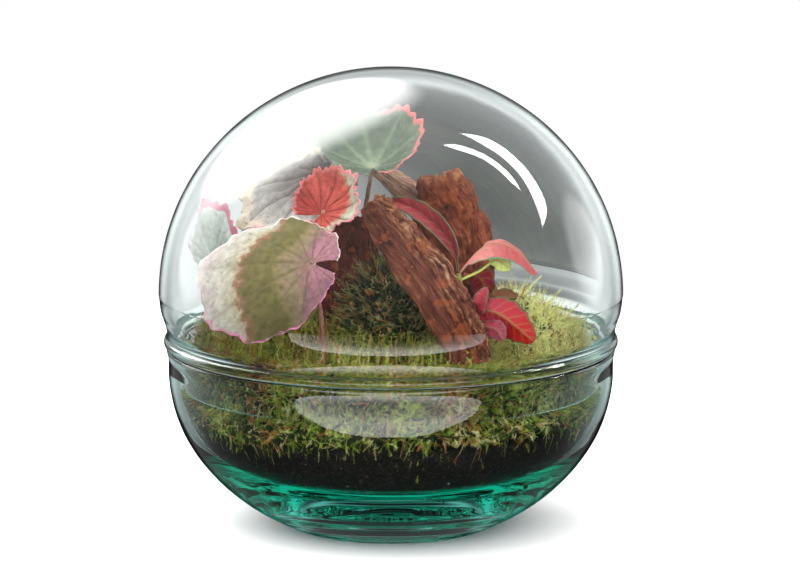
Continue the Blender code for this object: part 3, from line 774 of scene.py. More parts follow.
def crumb(name, size_mm, seed):
    """A small rough grain."""
    bm = bmesh.new()
    bmesh.ops.create_icosphere(bm, subdivisions=1, radius=size_mm * MM / 2)
    for vert in bm.verts:
        vert.co *= 1 + 0.45 * rough_noise(vert.co.x * 1500 + seed, vert.co.y * 1500, vert.co.z * 1500, 2)
        vert.co.z *= 0.7
    mesh = bpy.data.meshes.new(name)
    bm.to_mesh(mesh)
    bm.free()
    return mesh


# ---------------------------------------------------------------- soil


def soil_top_z(radius):
    return SOIL_CENTRE_Z + (SOIL_EDGE_Z - SOIL_CENTRE_Z) * (radius / MOSS_RADIUS) ** 2


def soil_material():
    """Damp potting soil, mostly peat: near black, crumbly, and evenly dull."""
    finish, tree = material("damp_peat_soil")
    crumbs = grain(tree, 1.6, 4.0)
    clods = grain(tree, 9.0, 3.0)
    stops = (0.3, "0d0907"), (0.52, "241813"), (0.7, "3a281f"), (0.85, "5b4636")
    dark = node(tree, RAMP, (crumbs,), stops)
    tint = node(tree, MIX, (clods, dark, srgb("17100d")), blend_type="MULTIPLY", **COLOUR)
    colour = node(tree, MIX, (0.45, dark, tint), **COLOUR)
    lumps = node(tree, MATH, (crumbs, clods), operation="ADD")
    surfaced(tree, lumps, 0.7, Base_Color=colour, Roughness=0.85, Specular_IOR_Level=0.35)
    return finish


def grain_material(name, stops, roughness):
    """Loose bits of bark, grit and perlite in the soil: each has its own tone."""
    finish, tree = material(name)
    tone = node(tree, MARK, attribute_name="tone").outputs["Fac"]
    colour = node(tree, RAMP, (tone,), stops)
    colour = node(tree, MIX, (grain(tree, 0.7), colour, srgb("2c201a")), **COLOUR)
    surfaced(tree, Base_Color=colour, Roughness=roughness)
    return finish


def soil_surface():
    """The soil's outside, crumbly against the glass, with marks for how thick the loose bits lie."""
    wall = [(r - GAP, z + GAP) for r, z in INSIDE if z < SOIL_EDGE_Z]
    wall_top = wall[-1]
    top_steps = 26
    top = [(wall_top[0] * i / top_steps, 0) for i in range(1, top_steps)]
    profile = [(r, soil_top_z(r)) for r, _ in top] + wall[:1:-1]
    turn = 240
    rows = []
    cover = []
    grit = []
    for r, z in profile:
        row = []
        cover_row = []
        grit_row = []
        for k in range(turn):
            angle = 2 * math.pi * k / turn
            x = r * math.cos(angle)
            y = r * math.sin(angle)
            lump = rough_noise(x / (5 * MM), y / (5 * MM), z / (5 * MM), 4)
            inward = 0.5 * MM * max(0.0, lump)
            row.append((x * (1 - inward / r), y * (1 - inward / r), z - 0.3 * inward))
            side = 1.0 if z < SOIL_EDGE_Z and r > 20 * MM else 0.0
            cover_row.append(side)
            front = math.exp(-(((angle - 1.5 * math.pi) / 0.35) ** 2))
            low = math.exp(-(((z - 21 * MM) / (6 * MM)) ** 2))
            patch = max(0.0, rough_noise(x / (9 * MM), y / (9 * MM), z / (9 * MM), 2) + 0.1) * 2
            grit_row.append(side * (0.012 + (2.2 * front + 0.15) * low * patch))
        rows.append(row)
        cover.append(cover_row)
        grit.append(grit_row)
    return rows, cover, grit


def make_soil():
    rows, cover, grit = soil_surface()
    finish = soil_material()
    body = grid_mesh("soil_body", rows, around=True, marks={"cover": cover})
    closed_fan(body, SOIL_CENTRE_Z, BOWL_FLOOR_Z + GAP, len(rows[0]))
    soil = shown("soil_body", body, finish)
    fitted(soil, "potting_soil", "soil")

    peat = copied_shapes("peat", crumb, (1.5, 0.0), (1.5, 7.0), (1.5, 14.0))
    brown = (0.0, "0e0908"), (0.5, "1e1410"), (0.8, "33221a"), (0.95, "4b3326"), (1.0, "6d5240")
    crumbs = scattered(
        "soil_crumbs",
        rows,
        {"cover": cover},
        peat,
        grain_material("peat_crumbs", brown, 0.9),
        count_per_area=110000.0,
        smallest=0.35,
        largest=1.5,
        lean=3.0,
        seed=3,
    )
    pale = (0.0, "5d5148"), (0.35, "8d8074"), (0.7, "b3a89a"), (1.0, "d6d0c6")
    stones = scattered(
        "soil_grit",
        rows,
        {"cover": grit},
        peat,
        grain_material("pale_grit", pale, 0.7),
        count_per_area=90000.0,
        smallest=0.3,
        largest=1.25,
        lean=3.0,
        seed=8,
    )
    for piece in (crumbs, stones):
        pressed(piece, BOWL_FLOOR_Z)
        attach(piece, "root")


# ---------------------------------------------------------------- moss


def bump(x, y, centre_x, centre_y, spread_x, spread_y, height):
    """A soft rise around a centre."""
    away = ((x - centre_x * MM) / (spread_x * MM)) ** 2 + ((y - centre_y * MM) / (spread_y * MM)) ** 2
    return height * math.exp(-away)


def moss_top_z(x, y):
    level = MOSS_LEVEL_Z + 0.045 * y + 0.02 * abs(x)
    level += bump(x, y, 64, 14, 27, 30, 19 * MM)
    level += bump(x, y, -72, 6, 26, 34, 3 * MM)
    level += bump(x, y, -4, 10, 48, 40, 20 * MM)
    return level + 1.3 * MM * math.sin(x * 170 + 1) * math.cos(y * 150)


def moss_material(name, stops, lime_and_painted_light, straw):
    """Living sheet moss: fine soft shoots, deep green below and yellow-green at the tips.

    Straw is the share of dry shoots. Patches are about 20 mm across.
    """
    finish, tree = material(name)
    marks = [node(tree, MARK, attribute_name=mark) for mark in ("tone", "along", "lime_and_painted_light", "dry")]
    tone, along, lime_and_light_share, dry = (mark.outputs["Fac"] for mark in marks)
    mixed = weighed_sum(tree, -0.33, (tone, 0.42), (along, 0.34), (grain(tree, 19, 2.0), 0.9))
    green = node(tree, RAMP, (mixed,), stops)
    # The lime patch is partly painted light on the hump's top.
    green = node(tree, MIX, (lime_and_light_share, green, srgb(lime_and_painted_light)), **COLOUR)
    odd = node(tree, MATH, (tone, 0.28), operation="SUBTRACT")
    odd = weighed_sum(tree, odd, (grain(tree, 26, 2.0), 0.5), (dry, 0.6))
    dead = node(tree, MATH, (odd, 1.0 - straw), operation="GREATER_THAN")
    stops = (0.36, "9a5a2a"), (0.46, "b8743a"), (0.54, "c9a468"), (0.64, "ddcb92")
    brown = node(tree, RAMP, (grain(tree, 5),), stops)
    colour = node(tree, MIX, (dead, green, brown), **COLOUR)
    surfaced(tree, Base_Color=colour, Roughness=0.75, Specular_IOR_Level=0.25)
    return finish


def thatch_material():
    """The dark layer of dead stems under the moss."""
    finish, tree = material("moss_thatch")
    stops = (0.3, "10110a"), (0.55, "23280f"), (0.8, "3a3516")
    colour = node(tree, RAMP, (grain(tree, 3),), stops)
    surfaced(tree, grain(tree, 1.5), 0.8, Base_Color=colour, Roughness=0.95)
    return finish


DRY_TUFTS = (  # x, y and spreads of the straw-coloured patches, mm
    (32, -94, 11, 8),
    (-88, -36, 13, 14),
    (-58, -74, 9, 9),
    (4, -90, 8, 6),
    (-96, 8, 6, 12),
)


def moss_pad_rows(start_deg, end_deg):
    """The pad's skin from the mound outwards, down the collar's inside, and under the bowl's wall."""
    columns = max(24, int((end_deg - start_deg) * 0.9))
    inner = MOUND_RADIUS + 2 * GAP
    radii = [inner + (MOSS_RADIUS - inner) * i / 26 for i in range(27)]
    rows = []
    lime_and_painted_light = []
    dry = []
    cover = []
    start = math.radians(start_deg) + 0.005
    end = math.radians(end_deg) - 0.005
    for i in range(columns + 1):
        angle = start + (end - start) * i / columns
        across = Vector((math.cos(angle), math.sin(angle), 0))
        row = []
        thick = []
        for radius in radii:
            spot = across * radius
            sink = 2.8 * MM + 4.2 * MM * rough_noise(spot.x / (12 * MM), spot.y / (12 * MM), 0, 2)
            sink += bump(spot.x, spot.y, 86, 8, 34, 44, 4 * MM)
            row.append(spot + Vector((0, 0, moss_top_z(spot.x, spot.y) - sink)))
            thick.append(1.0)
        edge_z = row[-1].z
        foot_z = MOSS_FOOT_Z - 2 * MM
        for step in range(1, 9):
            z = edge_z + (foot_z - edge_z) * step / 8
            flare = smooth_unit((MOSS_FOOT_Z + 3 * MM - z) / (5 * MM))
            radius = MOSS_RADIUS + (float(clear_radius(foot_z)) - 1.5 * MM - MOSS_RADIUS) * flare
            row.append(across * radius + Vector((0, 0, z)))
            thick.append(1.0)
        rim = float(clear_radius(SOIL_EDGE_Z)) - 1.0 * MM
        hem = SOIL_EDGE_Z + 1.5 * MM + 6.5 * MM * rough_noise(angle * 3.4, 1.3, 0, 3)
        row.append(across * rim + Vector((0, 0, hem)))
        thick.append(0.9)
        for radius in (rim * 0.97, (rim + inner) / 2, inner):
            row.append(across * radius + Vector((0, 0, soil_top_z(radius) + 1.5 * GAP)))
            thick.append(0.0)
        rows.append(row)
        # A pale lime patch on top of the right hump: partly the moss's own yellow-green, partly painted
        # light where light falls on the hump.
        lime_and_painted_light.append([min(1.0, bump(p.x, p.y, 70, 2, 30, 42, 1.5)) * (p.z > 84 * MM) for p in row])
        dry.append([sum(bump(p.x, p.y, *place, 1.0) for place in DRY_TUFTS) for p in row])
        cover.append(thick)
    return rows, {"lime_and_painted_light": lime_and_painted_light, "dry": dry, "cover": cover}


def mound_rows():
    """The high cushion's skin, ring by ring from its foot to its top."""
    sides = 64
    rows = []
    levels = [(1.0, z) for z in (SOIL_CENTRE_Z + 1.5 * GAP, 80 * MM, 92 * MM)]
    levels += [(share, None) for share in (1.0, 0.93, 0.86, 0.78, 0.7, 0.6, 0.5, 0.4, 0.3, 0.2, 0.12)]
    for share, level in levels:
        row = []
        for i in range(sides):
            angle = 2 * math.pi * i / sides
            rise = smooth_unit(1 - share * share) ** 0.75
            ripple = 1.6 * MM * math.sin(3 * angle + 1) * (1 - share)
            top = MOUND_EDGE_Z + (MOUND_TOP_Z - MOUND_EDGE_Z) * rise + ripple
            radius = MOUND_RADIUS * share - 1.0 * MM * share
            spot = Vector((radius * math.cos(angle), radius * math.sin(angle), 0))
            lump = 1.5 * MM * rough_noise(spot.x / (6 * MM), spot.y / (6 * MM), top / (6 * MM), 2)
            spot.z = level if level is not None else top - 2.0 * MM + lump
            row.append(spot)
        rows.append(row)
    return rows


SHOOTS = (  # length (mm), leaflets, their length (mm), how far they splay, and the stem's bend
    (8.0, 11, 2.6, 0.9, 0.5),
    (6.6, 10, 2.2, 0.75, -0.3),
    (10.5, 11, 1.9, 0.6, 0.8),
)
FRONDS = (  # the same, and the pieces that the stem bends in
    (15.0, 28, 2.8, 0.95, 0.55, 6),
    (12.0, 24, 2.3, 0.85, -0.45, 6),
)
MOSS_GREEN = (0.0, "191b08"), (0.3, "4f5a1c"), (0.48, "8c9632"), (0.66, "bdc055"), (1.0, "e6e2a4")
# The mound's greens are darker and duller than the sheet moss's: its own grey-green, with painted shade for
# the shade under the leaves.
MOUND_GREEN_AND_SHADE = (0.0, "202114"), (0.3, "45482b"), (0.52, "6e6f45"), (0.76, "949160"), (1.0, "c0bb86")
SECTORS = (
    ("moss_front", 205, 335),
    ("moss_right", -25, 52),
    ("moss_back", 52, 138),
    ("moss_left", 138, 205),
)


def make_moss():
    shoots = copied_shapes("shoot", sprig, *SHOOTS)
    fronds = copied_shapes("frond", sprig, *FRONDS)
    thatch = thatch_material()
    green = moss_material("sheet_moss_shoots", MOSS_GREEN, "ecea9c", 0.25)
    # painted shade: the mound's darker palette also stands in for the shade under the leaves
    dim = moss_material("cushion_moss_shoots", MOUND_GREEN_AND_SHADE, "7a7a3c", 0.2)
    for number, (name, start, end) in enumerate(SECTORS):
        rows, marks = moss_pad_rows(start, end)
        body = grid_mesh(name + "_thatch", rows, around=True, caps=True, marks=marks)
        pad = shown(name + "_tuft", outward(body, 0.0001), thatch)
        tufts = scattered(
            name + "_shoots", rows, marks, shoots, green,
            count_per_area=430000.0, smallest=0.5, largest=1.15, lean=1.75, seed=20 + number,
        )
        strands = scattered(
            name + "_fronds", rows, marks, fronds, green,
            count_per_area=20000.0, smallest=0.6, largest=1.25, lean=1.9, seed=40 + number,
        )
        for piece in (pad, tufts, strands):
            pressed(piece)
        fitted(joined(pad, tufts, strands), "sheet_moss", name)

    rows = mound_rows()
    cover = [[0.0 if i < 2 else 1.0] * len(rows[0]) for i in range(len(rows))]
    marks = {"cover": cover}
    body = grid_mesh("moss_mound_thatch", rows, around=True, caps=True, marks=marks)
    mound = shown("moss_mound_tuft", outward(body, 0.0001), thatch)
    tufts = scattered(
        "moss_mound_shoots", rows, marks, shoots, dim,
        count_per_area=430000.0, smallest=0.5, largest=1.1, lean=1.0, seed=31,
    )
    fitted(joined(mound, tufts), "cushion_moss", "moss_mound")


# ---------------------------------------------------------------- bark


BARK = {
    # path, side, half widths and half depths as the model has them (mm); how rough it is (mm),
    # and the colours from its grooves to its broken fibres
    "bark_slab_front": dict(
        path=((-9, -15, 163), (7, -28, 143), (23, -40, 122), (36, -50, 101), (42, -54, 90)),
        side=(0.72, 0.1, 0.69), widths=(7, 11, 12, 11, 8), depths=(2.5, 4, 4.5, 4.5, 4),
        seed=0.4, rough=1.5, lump=0.9, crag=2.4,
        stops=((0.2, "200e0a"), (0.4, "482117"), (0.58, "693726"), (0.74, "8a5a40"), (0.95, "b08a70")),
    ),
    "bark_chunk_right": dict(
        path=((24, 19, 171), (28, 17, 152), (34, 14, 132), (36, 12, 112), (36, 12, 92)),
        side=(0.95, -0.3, 0.1), widths=(11, 16, 17, 15, 12), depths=(6, 10, 12, 11, 9),
        seed=1.7, rough=0.9, lump=3.0, crag=1.0,
        stops=((0.2, "2b110b"), (0.4, "5a2415"), (0.58, "7d3a20"), (0.74, "9a5734"), (0.95, "b98058")),
    ),
    "bark_stick_back": dict(
        path=((-10, 31, 176), (2, 34, 166), (14, 38, 154), (21, 41, 134), (22, 41, 96)),
        side=(0.5, -0.7, 0.4), widths=(4, 6, 7, 7, 6), depths=(3, 4.5, 5, 5, 5),
        seed=2.9, rough=1.2, lump=0.4, crag=0.5,
        stops=((0.2, "5e362b"), (0.4, "a36a55"), (0.58, "c99a82"), (0.8, "e4c4ae")),
    ),
    "bark_piece_left": dict(
        path=((-20, 4, 152), (-20, 1, 140), (-20, -3, 126), (-20, -6, 108), (-18, -8, 94)),
        side=(0.95, 0.25, 0.0), widths=(10, 14, 15, 13, 10), depths=(3, 4, 4.5, 4.5, 4),
        seed=4.2, rough=1.4, lump=1.0, crag=0.8,
        # painted shade: these colours are darker than the other pieces' because this piece stands in shade
        stops=((0.2, "1a0c09"), (0.4, "3d1a14"), (0.58, "5f2b20"), (0.85, "8f5040")),
    ),
}


def bark_rows(spec):
    """The piece's skin: the model's section, split into fibres along the grain, ragged at the ends."""
    path = mm_points(*spec["path"])
    side = Vector(spec["side"]).normalized()
    stations = 150
    points = 110
    length = sum((b - a).length for a, b in zip(path, path[1:]))
    rows = []
    marks = {"around": [], "grain_way": [], "fray": [], "crag": []}
    edges = [smooth_unit((math.cos(2 * math.pi * k / points) - 0.1) / 0.5) for k in range(points)]
    for i in range(stations + 1):
        t = i / stations
        centre = spline(path, t)
        ahead = heading(path, t)
        across = (side - ahead * side.dot(ahead)).normalized()
        out = ahead.cross(across)
        half_width = spline(spec["widths"], t) * MM
        half_depth = spline(spec["depths"], t) * MM
        down = t * length
        row = []
        for k in range(points):
            angle = 2 * math.pi * k / points
            ridge = 1 + 0.09 * math.sin(3 * angle + spec["seed"])
            ridge += 0.06 * math.sin(5 * angle + 2 * spec["seed"] + 4 * t)
            squareness = 1 / max(abs(math.cos(angle)), abs(math.sin(angle))) ** 0.35
            flat = Vector((half_width * math.cos(angle), half_depth * math.sin(angle)))
            flat *= ridge * squareness
            round_x = flat.x / (4.2 * MM) + spec["seed"] * 9
            round_y = flat.y / (4.2 * MM)
            groove = abs(rough_noise(round_x, round_y, down / (26 * MM), 4))
            fibre = rough_noise(round_x * 3.6, round_y * 3.6, down / (14 * MM), 2)
            flake = rough_noise(round_x * 0.8, round_y * 0.8, down / (9 * MM), 3)
            lift = spec["rough"] * MM * (0.25 - 1.1 * groove + 0.16 * fibre + 0.45 * flake)
            skin = centre + across * flat.x + out * flat.y
            lump = rough_noise(*(skin / (11 * MM) + Vector((spec["seed"], 0, 0))), 3)
            crag = (rough_noise(round_x * 1.6, round_y * 1.6, down / (9 * MM), 4) - 0.3) * edges[k]
            lift += spec["lump"] * MM * (lump + 0.25) + spec["crag"] * MM * crag
            ragged = rough_noise(round_x * 1.4, round_y * 1.4, 3.0, 3)
            end = smooth_unit(1 - min(t, 1 - t) / 0.1)
            shift = ahead * (ragged * 4.5 * MM * end * (1 if t > 0.5 else -1))
            reach = 1 + lift / max(flat.length, 1 * MM)
            row.append(centre + across * (flat.x * reach) + out * (flat.y * reach) + shift)
        rows.append(row)
        marks["around"].append([k / points * 2 * math.pi * half_width / MM for k in range(points)])
        marks["crag"].append(edges)
        marks["grain_way"].append([down / MM] * points)
        marks["fray"].append([smooth_unit(1 - min(t, 1 - t) / 0.07)] * points)
    return rows, marks


def capped_rows(rows, marks):
    """Adds two shrinking rings at each end, so that the broken ends are rough and not flat."""
    for end in (0, -1):
        ring = rows[end]
        centre = sum(ring, Vector()) / len(ring)
        for share in (0.72, 0.4, 0.12):
            inner = []
            for point in ring:
                dent = 1.4 * MM * rough_noise(point.x / (2.5 * MM), point.y / (2.5 * MM), share * 5, 2)
                inner.append(centre + (point - centre) * share + Vector((0, 0, dent)))
            place = 0 if end == 0 else len(rows)
            rows.insert(place, inner)
            for values in marks.values():
                values.insert(place, list(values[end]))
    return rows, marks


def bark_material(name, stops, crag):
    """Redwood bark: fibrous, matt, red-brown in the grooves and tan where it has weathered or torn. Its
    hollows are also darkened as painted shade.

    The fibres are about 1 mm apart and follow the piece.
    """
    finish, tree = material(name)
    marks = [node(tree, MARK, attribute_name=mark) for mark in ("around", "grain_way", "fray", "crag")]
    around, along, fray, craggy = (mark.outputs["Fac"] for mark in marks)
    along = node(tree, MATH, (along, 0.09), operation="MULTIPLY")
    place = node(tree, "ShaderNodeCombineXYZ", (around, along))
    values = {"Vector": place, "Scale": 0.9, "Detail": 5.0, "Roughness": 0.65}
    fibres = node(tree, NOISE, values)
    # Pointiness: ridges come out lighter, as wear, and hollows darker, as painted shade.
    wear_and_hollow_shade = node(tree, "ShaderNodeNewGeometry").outputs["Pointiness"]
    wear_and_hollow_shade = node(tree, MATH, (wear_and_hollow_shade, 0.5), operation="SUBTRACT")
    blotch = grain(tree, 11)
    height = weighed_sum(tree, -0.06, (fibres, 0.7), (blotch, 0.45), (wear_and_hollow_shade, 2.2), (fray, 0.1))
    shreds = node(tree, MATH, (fibres, 0.74), operation="SUBTRACT")
    shreds = weighed_sum(tree, shreds, (grain(tree, 2.6, 4.0), 0.6))
    torn = node(tree, MATH, (craggy, shreds), operation="MULTIPLY")
    colour = node(tree, RAMP, (weighed_sum(tree, height, (torn, crag)),), stops)
    colour = speckled(tree, colour, "a8542a", 0.35, 0.6, 7, 2.0)
    fine = weighed_sum(tree, fibres, (grain(tree, 1.2), 0.5))
    surfaced(tree, fine, 0.55, Base_Color=colour, Roughness=0.85, Specular_IOR_Level=0.25)
    return finish


def make_bark():
    for name, spec in BARK.items():
        rows, marks = capped_rows(*bark_rows(spec))
        mesh = grid_mesh(name + "_grain", rows, around=True, caps=True, marks=marks)
        finish = bark_material(name + "_fibre", spec["stops"], spec["crag"] * 0.35)
        fitted(shown(name + "_grain", outward(mesh), finish), "redwood_bark", name)


# ---------------------------------------------------------------- stalks


def tube_rows(points, radius_start, radius_end, sides=12, steps=36, bumps=0.0):
    """Rings of a round stalk along a smooth path."""
    rows = []
    across = heading(points, 0).orthogonal()
    for i in range(steps + 1):
        t = i / steps
        centre = spline(points, t)
        ahead = heading(points, t)
        across = (across - ahead * across.dot(ahead)).normalized()
        out = ahead.cross(across)
        radius = radius_start + (radius_end - radius_start) * t
        row = []
        for k in range(sides):
            angle = 2 * math.pi * k / sides
            lump = centre.x * 400 + math.cos(angle), centre.z * 400, math.sin(angle)
            swell = 1 + bumps * rough_noise(*lump, 2)
            row.append(centre + (across * math.cos(angle) + out * math.sin(angle)) * (radius * swell))
        rows.append(row)
    return rows


# ---------------------------------------------------------------- saxifrage

CROWN = Vector((-26, 14, 108)) * MM
CROWN_RADIUS = 4.5 * MM
CROWN_HEIGHT = 12.0 * MM

SAXIFRAGE = {
    # placed as the model has them; teeth: depth of the toothed margin (mm); crumple: how puckered
    # the blade is (mm); ruffle: wave of the margin (mm); zones: colours along the lie, which weighs
    # the distance from the joint, the way to the tip and the way to the side; rim: its two colours,
    # its start, and weights (tip, side, all round) for where it shows; vein: the veins' colour
    "saxifrage_leaf_top": dict(
        at=(-9, -6, 179.5), tip=(-0.15, 0.86, 0.5), face=(0, -0.5, 0.86), radius=30,
        offset=0.75, cup=1, droop=0.1, roll=-0.5, way=(-14, 18, 150),
        teeth=2.4, crumple=0.8, ruffle=0.9, lie=(1, 0, 0), vein="93a083",
        zones=((0.0, "8a9274"), (0.2, "5a6650"), (0.6, "4c5844"), (0.85, "606a54"), (1.0, "767e68")),
        rim=("d4706a", "8f967e", 0.9, (0, -1, 0.1)),
    ),
    "saxifrage_leaf_mauve": dict(
        at=(-30, 16.5, 173.6), tip=(-0.9, -0.15, -0.4), face=(-0.38, -0.4, 0.84), radius=33,
        offset=0.6, cup=-1, droop=0.12, roll=0.1, way=(-29, 27, 145),
        teeth=1.8, crumple=3.4, ruffle=1.8, lie=(1, 0, 0.08), vein="4a3d3c",
        zones=((0.0, "43383a"), (0.3, "6f6361"), (0.5, "8d817e"), (0.7, "aaa09a"), (0.95, "c9bdb2")),
        rim=("d8c4b0", "d98f92", 0.84, (0.6, 0.3, 0.4)),
    ),
    "saxifrage_leaf_coral": dict(
        at=(-34, -28.6, 160.3), tip=(0.8, 0.1, 0.5), face=(-0.3, -0.75, 0.55), radius=20,
        offset=0.35, cup=2, droop=-0.5, roll=-0.6, way=(-38, -2, 140),
        teeth=2.0, crumple=2.0, ruffle=1.8, lie=(0.5, 0.3, -0.4), vein="8f3128",
        zones=(
            (0.0, "a83c34"),
            (0.25, "c8584c"),
            (0.45, "bb4a3e"),
            (0.55, "cf7464"),
            (0.6, "aeb196"),
            (1.0, "c2c4ae"),
        ),
        rim=("dd8488", "cf6a66", 0.9, (0.0, 0.0, 1.0)),
    ),
    "saxifrage_leaf_front": dict(
        at=(-38, -61.3, 141.2), tip=(-0.96, 0.2, 0.02), face=(-0.15, -0.72, 0.68), radius=34,
        offset=0.62, cup=-1, droop=0.25, roll=0.45, way=(-34, -57, 118), root=(-32, -52, 86),
        teeth=1.3, crumple=1.3, ruffle=1.4, lie=(0.12, 0.92, 0.0), vein="6e6238",
        outline=(1.0, 1.05, 1.1, 0.97, 0.9, 0.9, 0.97, 1.08, 1.15, 1.18, 1.18, 1.12, 1.05, 1.0, 1.0),
        zones=(
            (0.0, "a8707a"), (0.06, "96626a"), (0.14, "8f7760"), (0.26, "8f7854"), (0.33, "736632"),
            (0.56, "766a3c"), (0.62, "a06c50"), (0.67, "beb096"), (0.78, "cfc2b4"), (0.93, "d6c4bc"),
        ),
        # painted shade: how much the blade darkens towards its lower side
        lower_side_painted_shade=0.35,
        rim=("e2d2ce", "d880a4", 0.96, (0, 0, 1)),
    ),
    "saxifrage_leaf_far_left": dict(
        at=(-87, 4, 129), tip=(-0.2, 0.1, 0.97), face=(-0.8, -0.5, 0.2), radius=24,
        offset=0.4, cup=1, droop=0.2, roll=0.25, way=(-56, 9, 122),
        teeth=1.7, crumple=1.3, ruffle=1.2, lie=(1, 0, -0.05), vein="c9cec0",
        zones=((0.0, "a0a497"), (0.5, "acb0a5"), (0.8, "c4c7be"), (1.0, "d6d6d0")),
        rim=("cf7288", "e6dcdc", 0.84, (0, -0.2, 1)),
    ),
    "saxifrage_leaf_small": dict(
        at=(-57, 13, 144), tip=(-1, -0.1, -0.12), face=(-0.12, -0.2, 0.97), radius=11,
        offset=0.6, cup=1, droop=0.2, roll=0.2, way=(-42, 18, 128),
        teeth=0.9, crumple=0.4, ruffle=0.5, lie=(1, 0, 0), vein="c7bfb4",
        zones=((0.0, "cfc6bc"), (0.6, "ddd2cc"), (1.0, "e6cfcc")),
        rim=("e59aa0", "e59aa0", 0.84, (0, 0, 1)),
    ),
    "saxifrage_leaf_back": dict(
        at=(-42, 46, 148), tip=(-0.3, 0.85, 0.1), face=(-0.2, 0.2, 0.95), radius=24,
        offset=0.5, cup=2, droop=0.5, roll=0.3, way=(-37, 40, 132),
        teeth=1.7, crumple=1.2, ruffle=1.2, lie=(1, 0, 0), vein="a5ad92",
        zones=((0.0, "78836c"), (0.5, "66715c"), (0.82, "878e78"), (1.0, "9aa08c")),
        rim=("cf8480", "d98f92", 0.88, (0, 0, 1)),
    ),
    "saxifrage_leaf_back_low": dict(
        at=(-62.3, 41.4, 122.3), tip=(-0.7, 0.6, -0.1), face=(-0.4, 0.3, 0.85), radius=18,
        offset=0.5, cup=2, droop=0.4, roll=0.2, way=(-46, 28, 124),
        teeth=1.3, crumple=0.8, ruffle=0.8, lie=(1, 0, 0), vein="aab096",
        zones=((0.0, "7d876e"), (0.5, "6f7a62"), (0.82, "8f9680"), (1.0, "a0a68f")),
        rim=("d08888", "d08888", 0.88, (0, 0, 1)),
    ),
}


def leaf_frame(spec):
    tip = Vector(spec["tip"]).normalized()
    face = Vector(spec["face"])
    face = (face - tip * face.dot(tip)).normalized()
    return tip, face.cross(tip), face


def bent(along, height, curvature):
    """Rolls a flat strip into an arc: new distance along and new height."""
    angle = along * curvature
    reach = 1 / curvature - height
    return reach * math.sin(angle), 1 / curvature - reach * math.cos(angle)


def saxifrage_point(spec, share, angle, lift=0.0, stretch=1.0):
    """Point of the blade at a share of its reach and an angle from the tip, seen at the joint."""
    tip, side, face = leaf_frame(spec)
    radius = spec["radius"] * MM
    offset = spec["offset"] * radius
    reach = offset * math.cos(angle) + math.sqrt(radius**2 - (offset * math.sin(angle)) ** 2)
    reach *= stretch
    along = reach * share * math.cos(angle)
    across = reach * share * math.sin(angle)
    height = spec["cup"] * MM * share * share + lift
    across, height = bent(across, height, -spec["roll"] / radius)
    along, height = bent(along, height, -spec["droop"] / radius)
    return Vector(spec["at"]) * MM + tip * along + side * across + face * height


def saxifrage_rows(spec, seed):
    """The blade's sheet, with lobes, teeth, sunken veins and the puckers between them."""
    columns = 200
    rings = 34
    lobes = 11
    turn = math.pi - SINUS
    radius = spec["radius"]
    rows = []
    marks = {"share": [], "vein": [], "tipward": [], "sideward": []}
    for i in range(rings + 1):
        share = 0.02 + 0.98 * (i / rings) ** 0.85
        row = []
        veins = []
        for k in range(columns + 1):
            angle = -turn + 2 * turn * k / columns
            spoke = (angle / (2 * turn) + 0.5) * lobes
            off = abs(spoke - math.floor(spoke) - 0.5)  # 0 on a main vein, 0.5 half way between two
            lobe = math.cos(2 * math.pi * off) * 0.035
            tooth = abs((spoke * 3.0 + 0.3 * rough_noise(spoke, seed, 0, 2)) % 1.0 - 0.5) * 2
            edge = smooth_unit((share - 0.8) / 0.2)
            jag = (tooth - 0.5) * spec["teeth"] / radius * edge
            stretch = spline(spec.get("outline", (1.0, 1.0)), k / columns)
            stretch += lobe * smooth_unit((share - 0.5) / 0.5) + jag - 0.015 * edge
            width = off / lobes * 2 * turn * radius * share  # distance from the vein in mm
            vein = math.exp(-((width / 0.8) ** 2)) * (1 - 0.6 * share)
            side_vein = abs((share * radius / 3.2 + off * 6) % 1.0 - 0.5) * 2
            side_vein = math.exp(-(((1 - side_vein) / 0.16) ** 2)) * (off < 0.46) * (share > 0.12)
            vein = max(vein, 0.55 * side_vein)
            x = share * math.cos(angle) * radius
            y = share * math.sin(angle) * radius
            crease = rough_noise(x / 7 + seed, y / 7, seed, 3)
            bulge = math.sin(math.pi * min(1.0, off * 2)) * (0.3 + 0.7 * share)
            fold = rough_noise(x / 15 + seed, y / 15 + 4, seed, 2)
            lift = spec["crumple"] * (0.45 * crease + 0.6 * fold * share + 0.45 * bulge - 0.35 * vein)
            lift += spec["ruffle"] * share**3 * math.sin(spoke * 2 * math.pi * 0.5 + seed * 3)
            row.append(saxifrage_point(spec, share, angle, lift * MM, stretch))
            veins.append(vein)
        rows.append(row)
        marks["share"].append([share] * (columns + 1))
        marks["vein"].append(veins)
        turns = [2 * turn * k / columns - turn for k in range(columns + 1)]
        marks["tipward"].append([share * math.cos(angle) for angle in turns])
        marks["sideward"].append([share * math.sin(angle) for angle in turns])
    return rows, marks


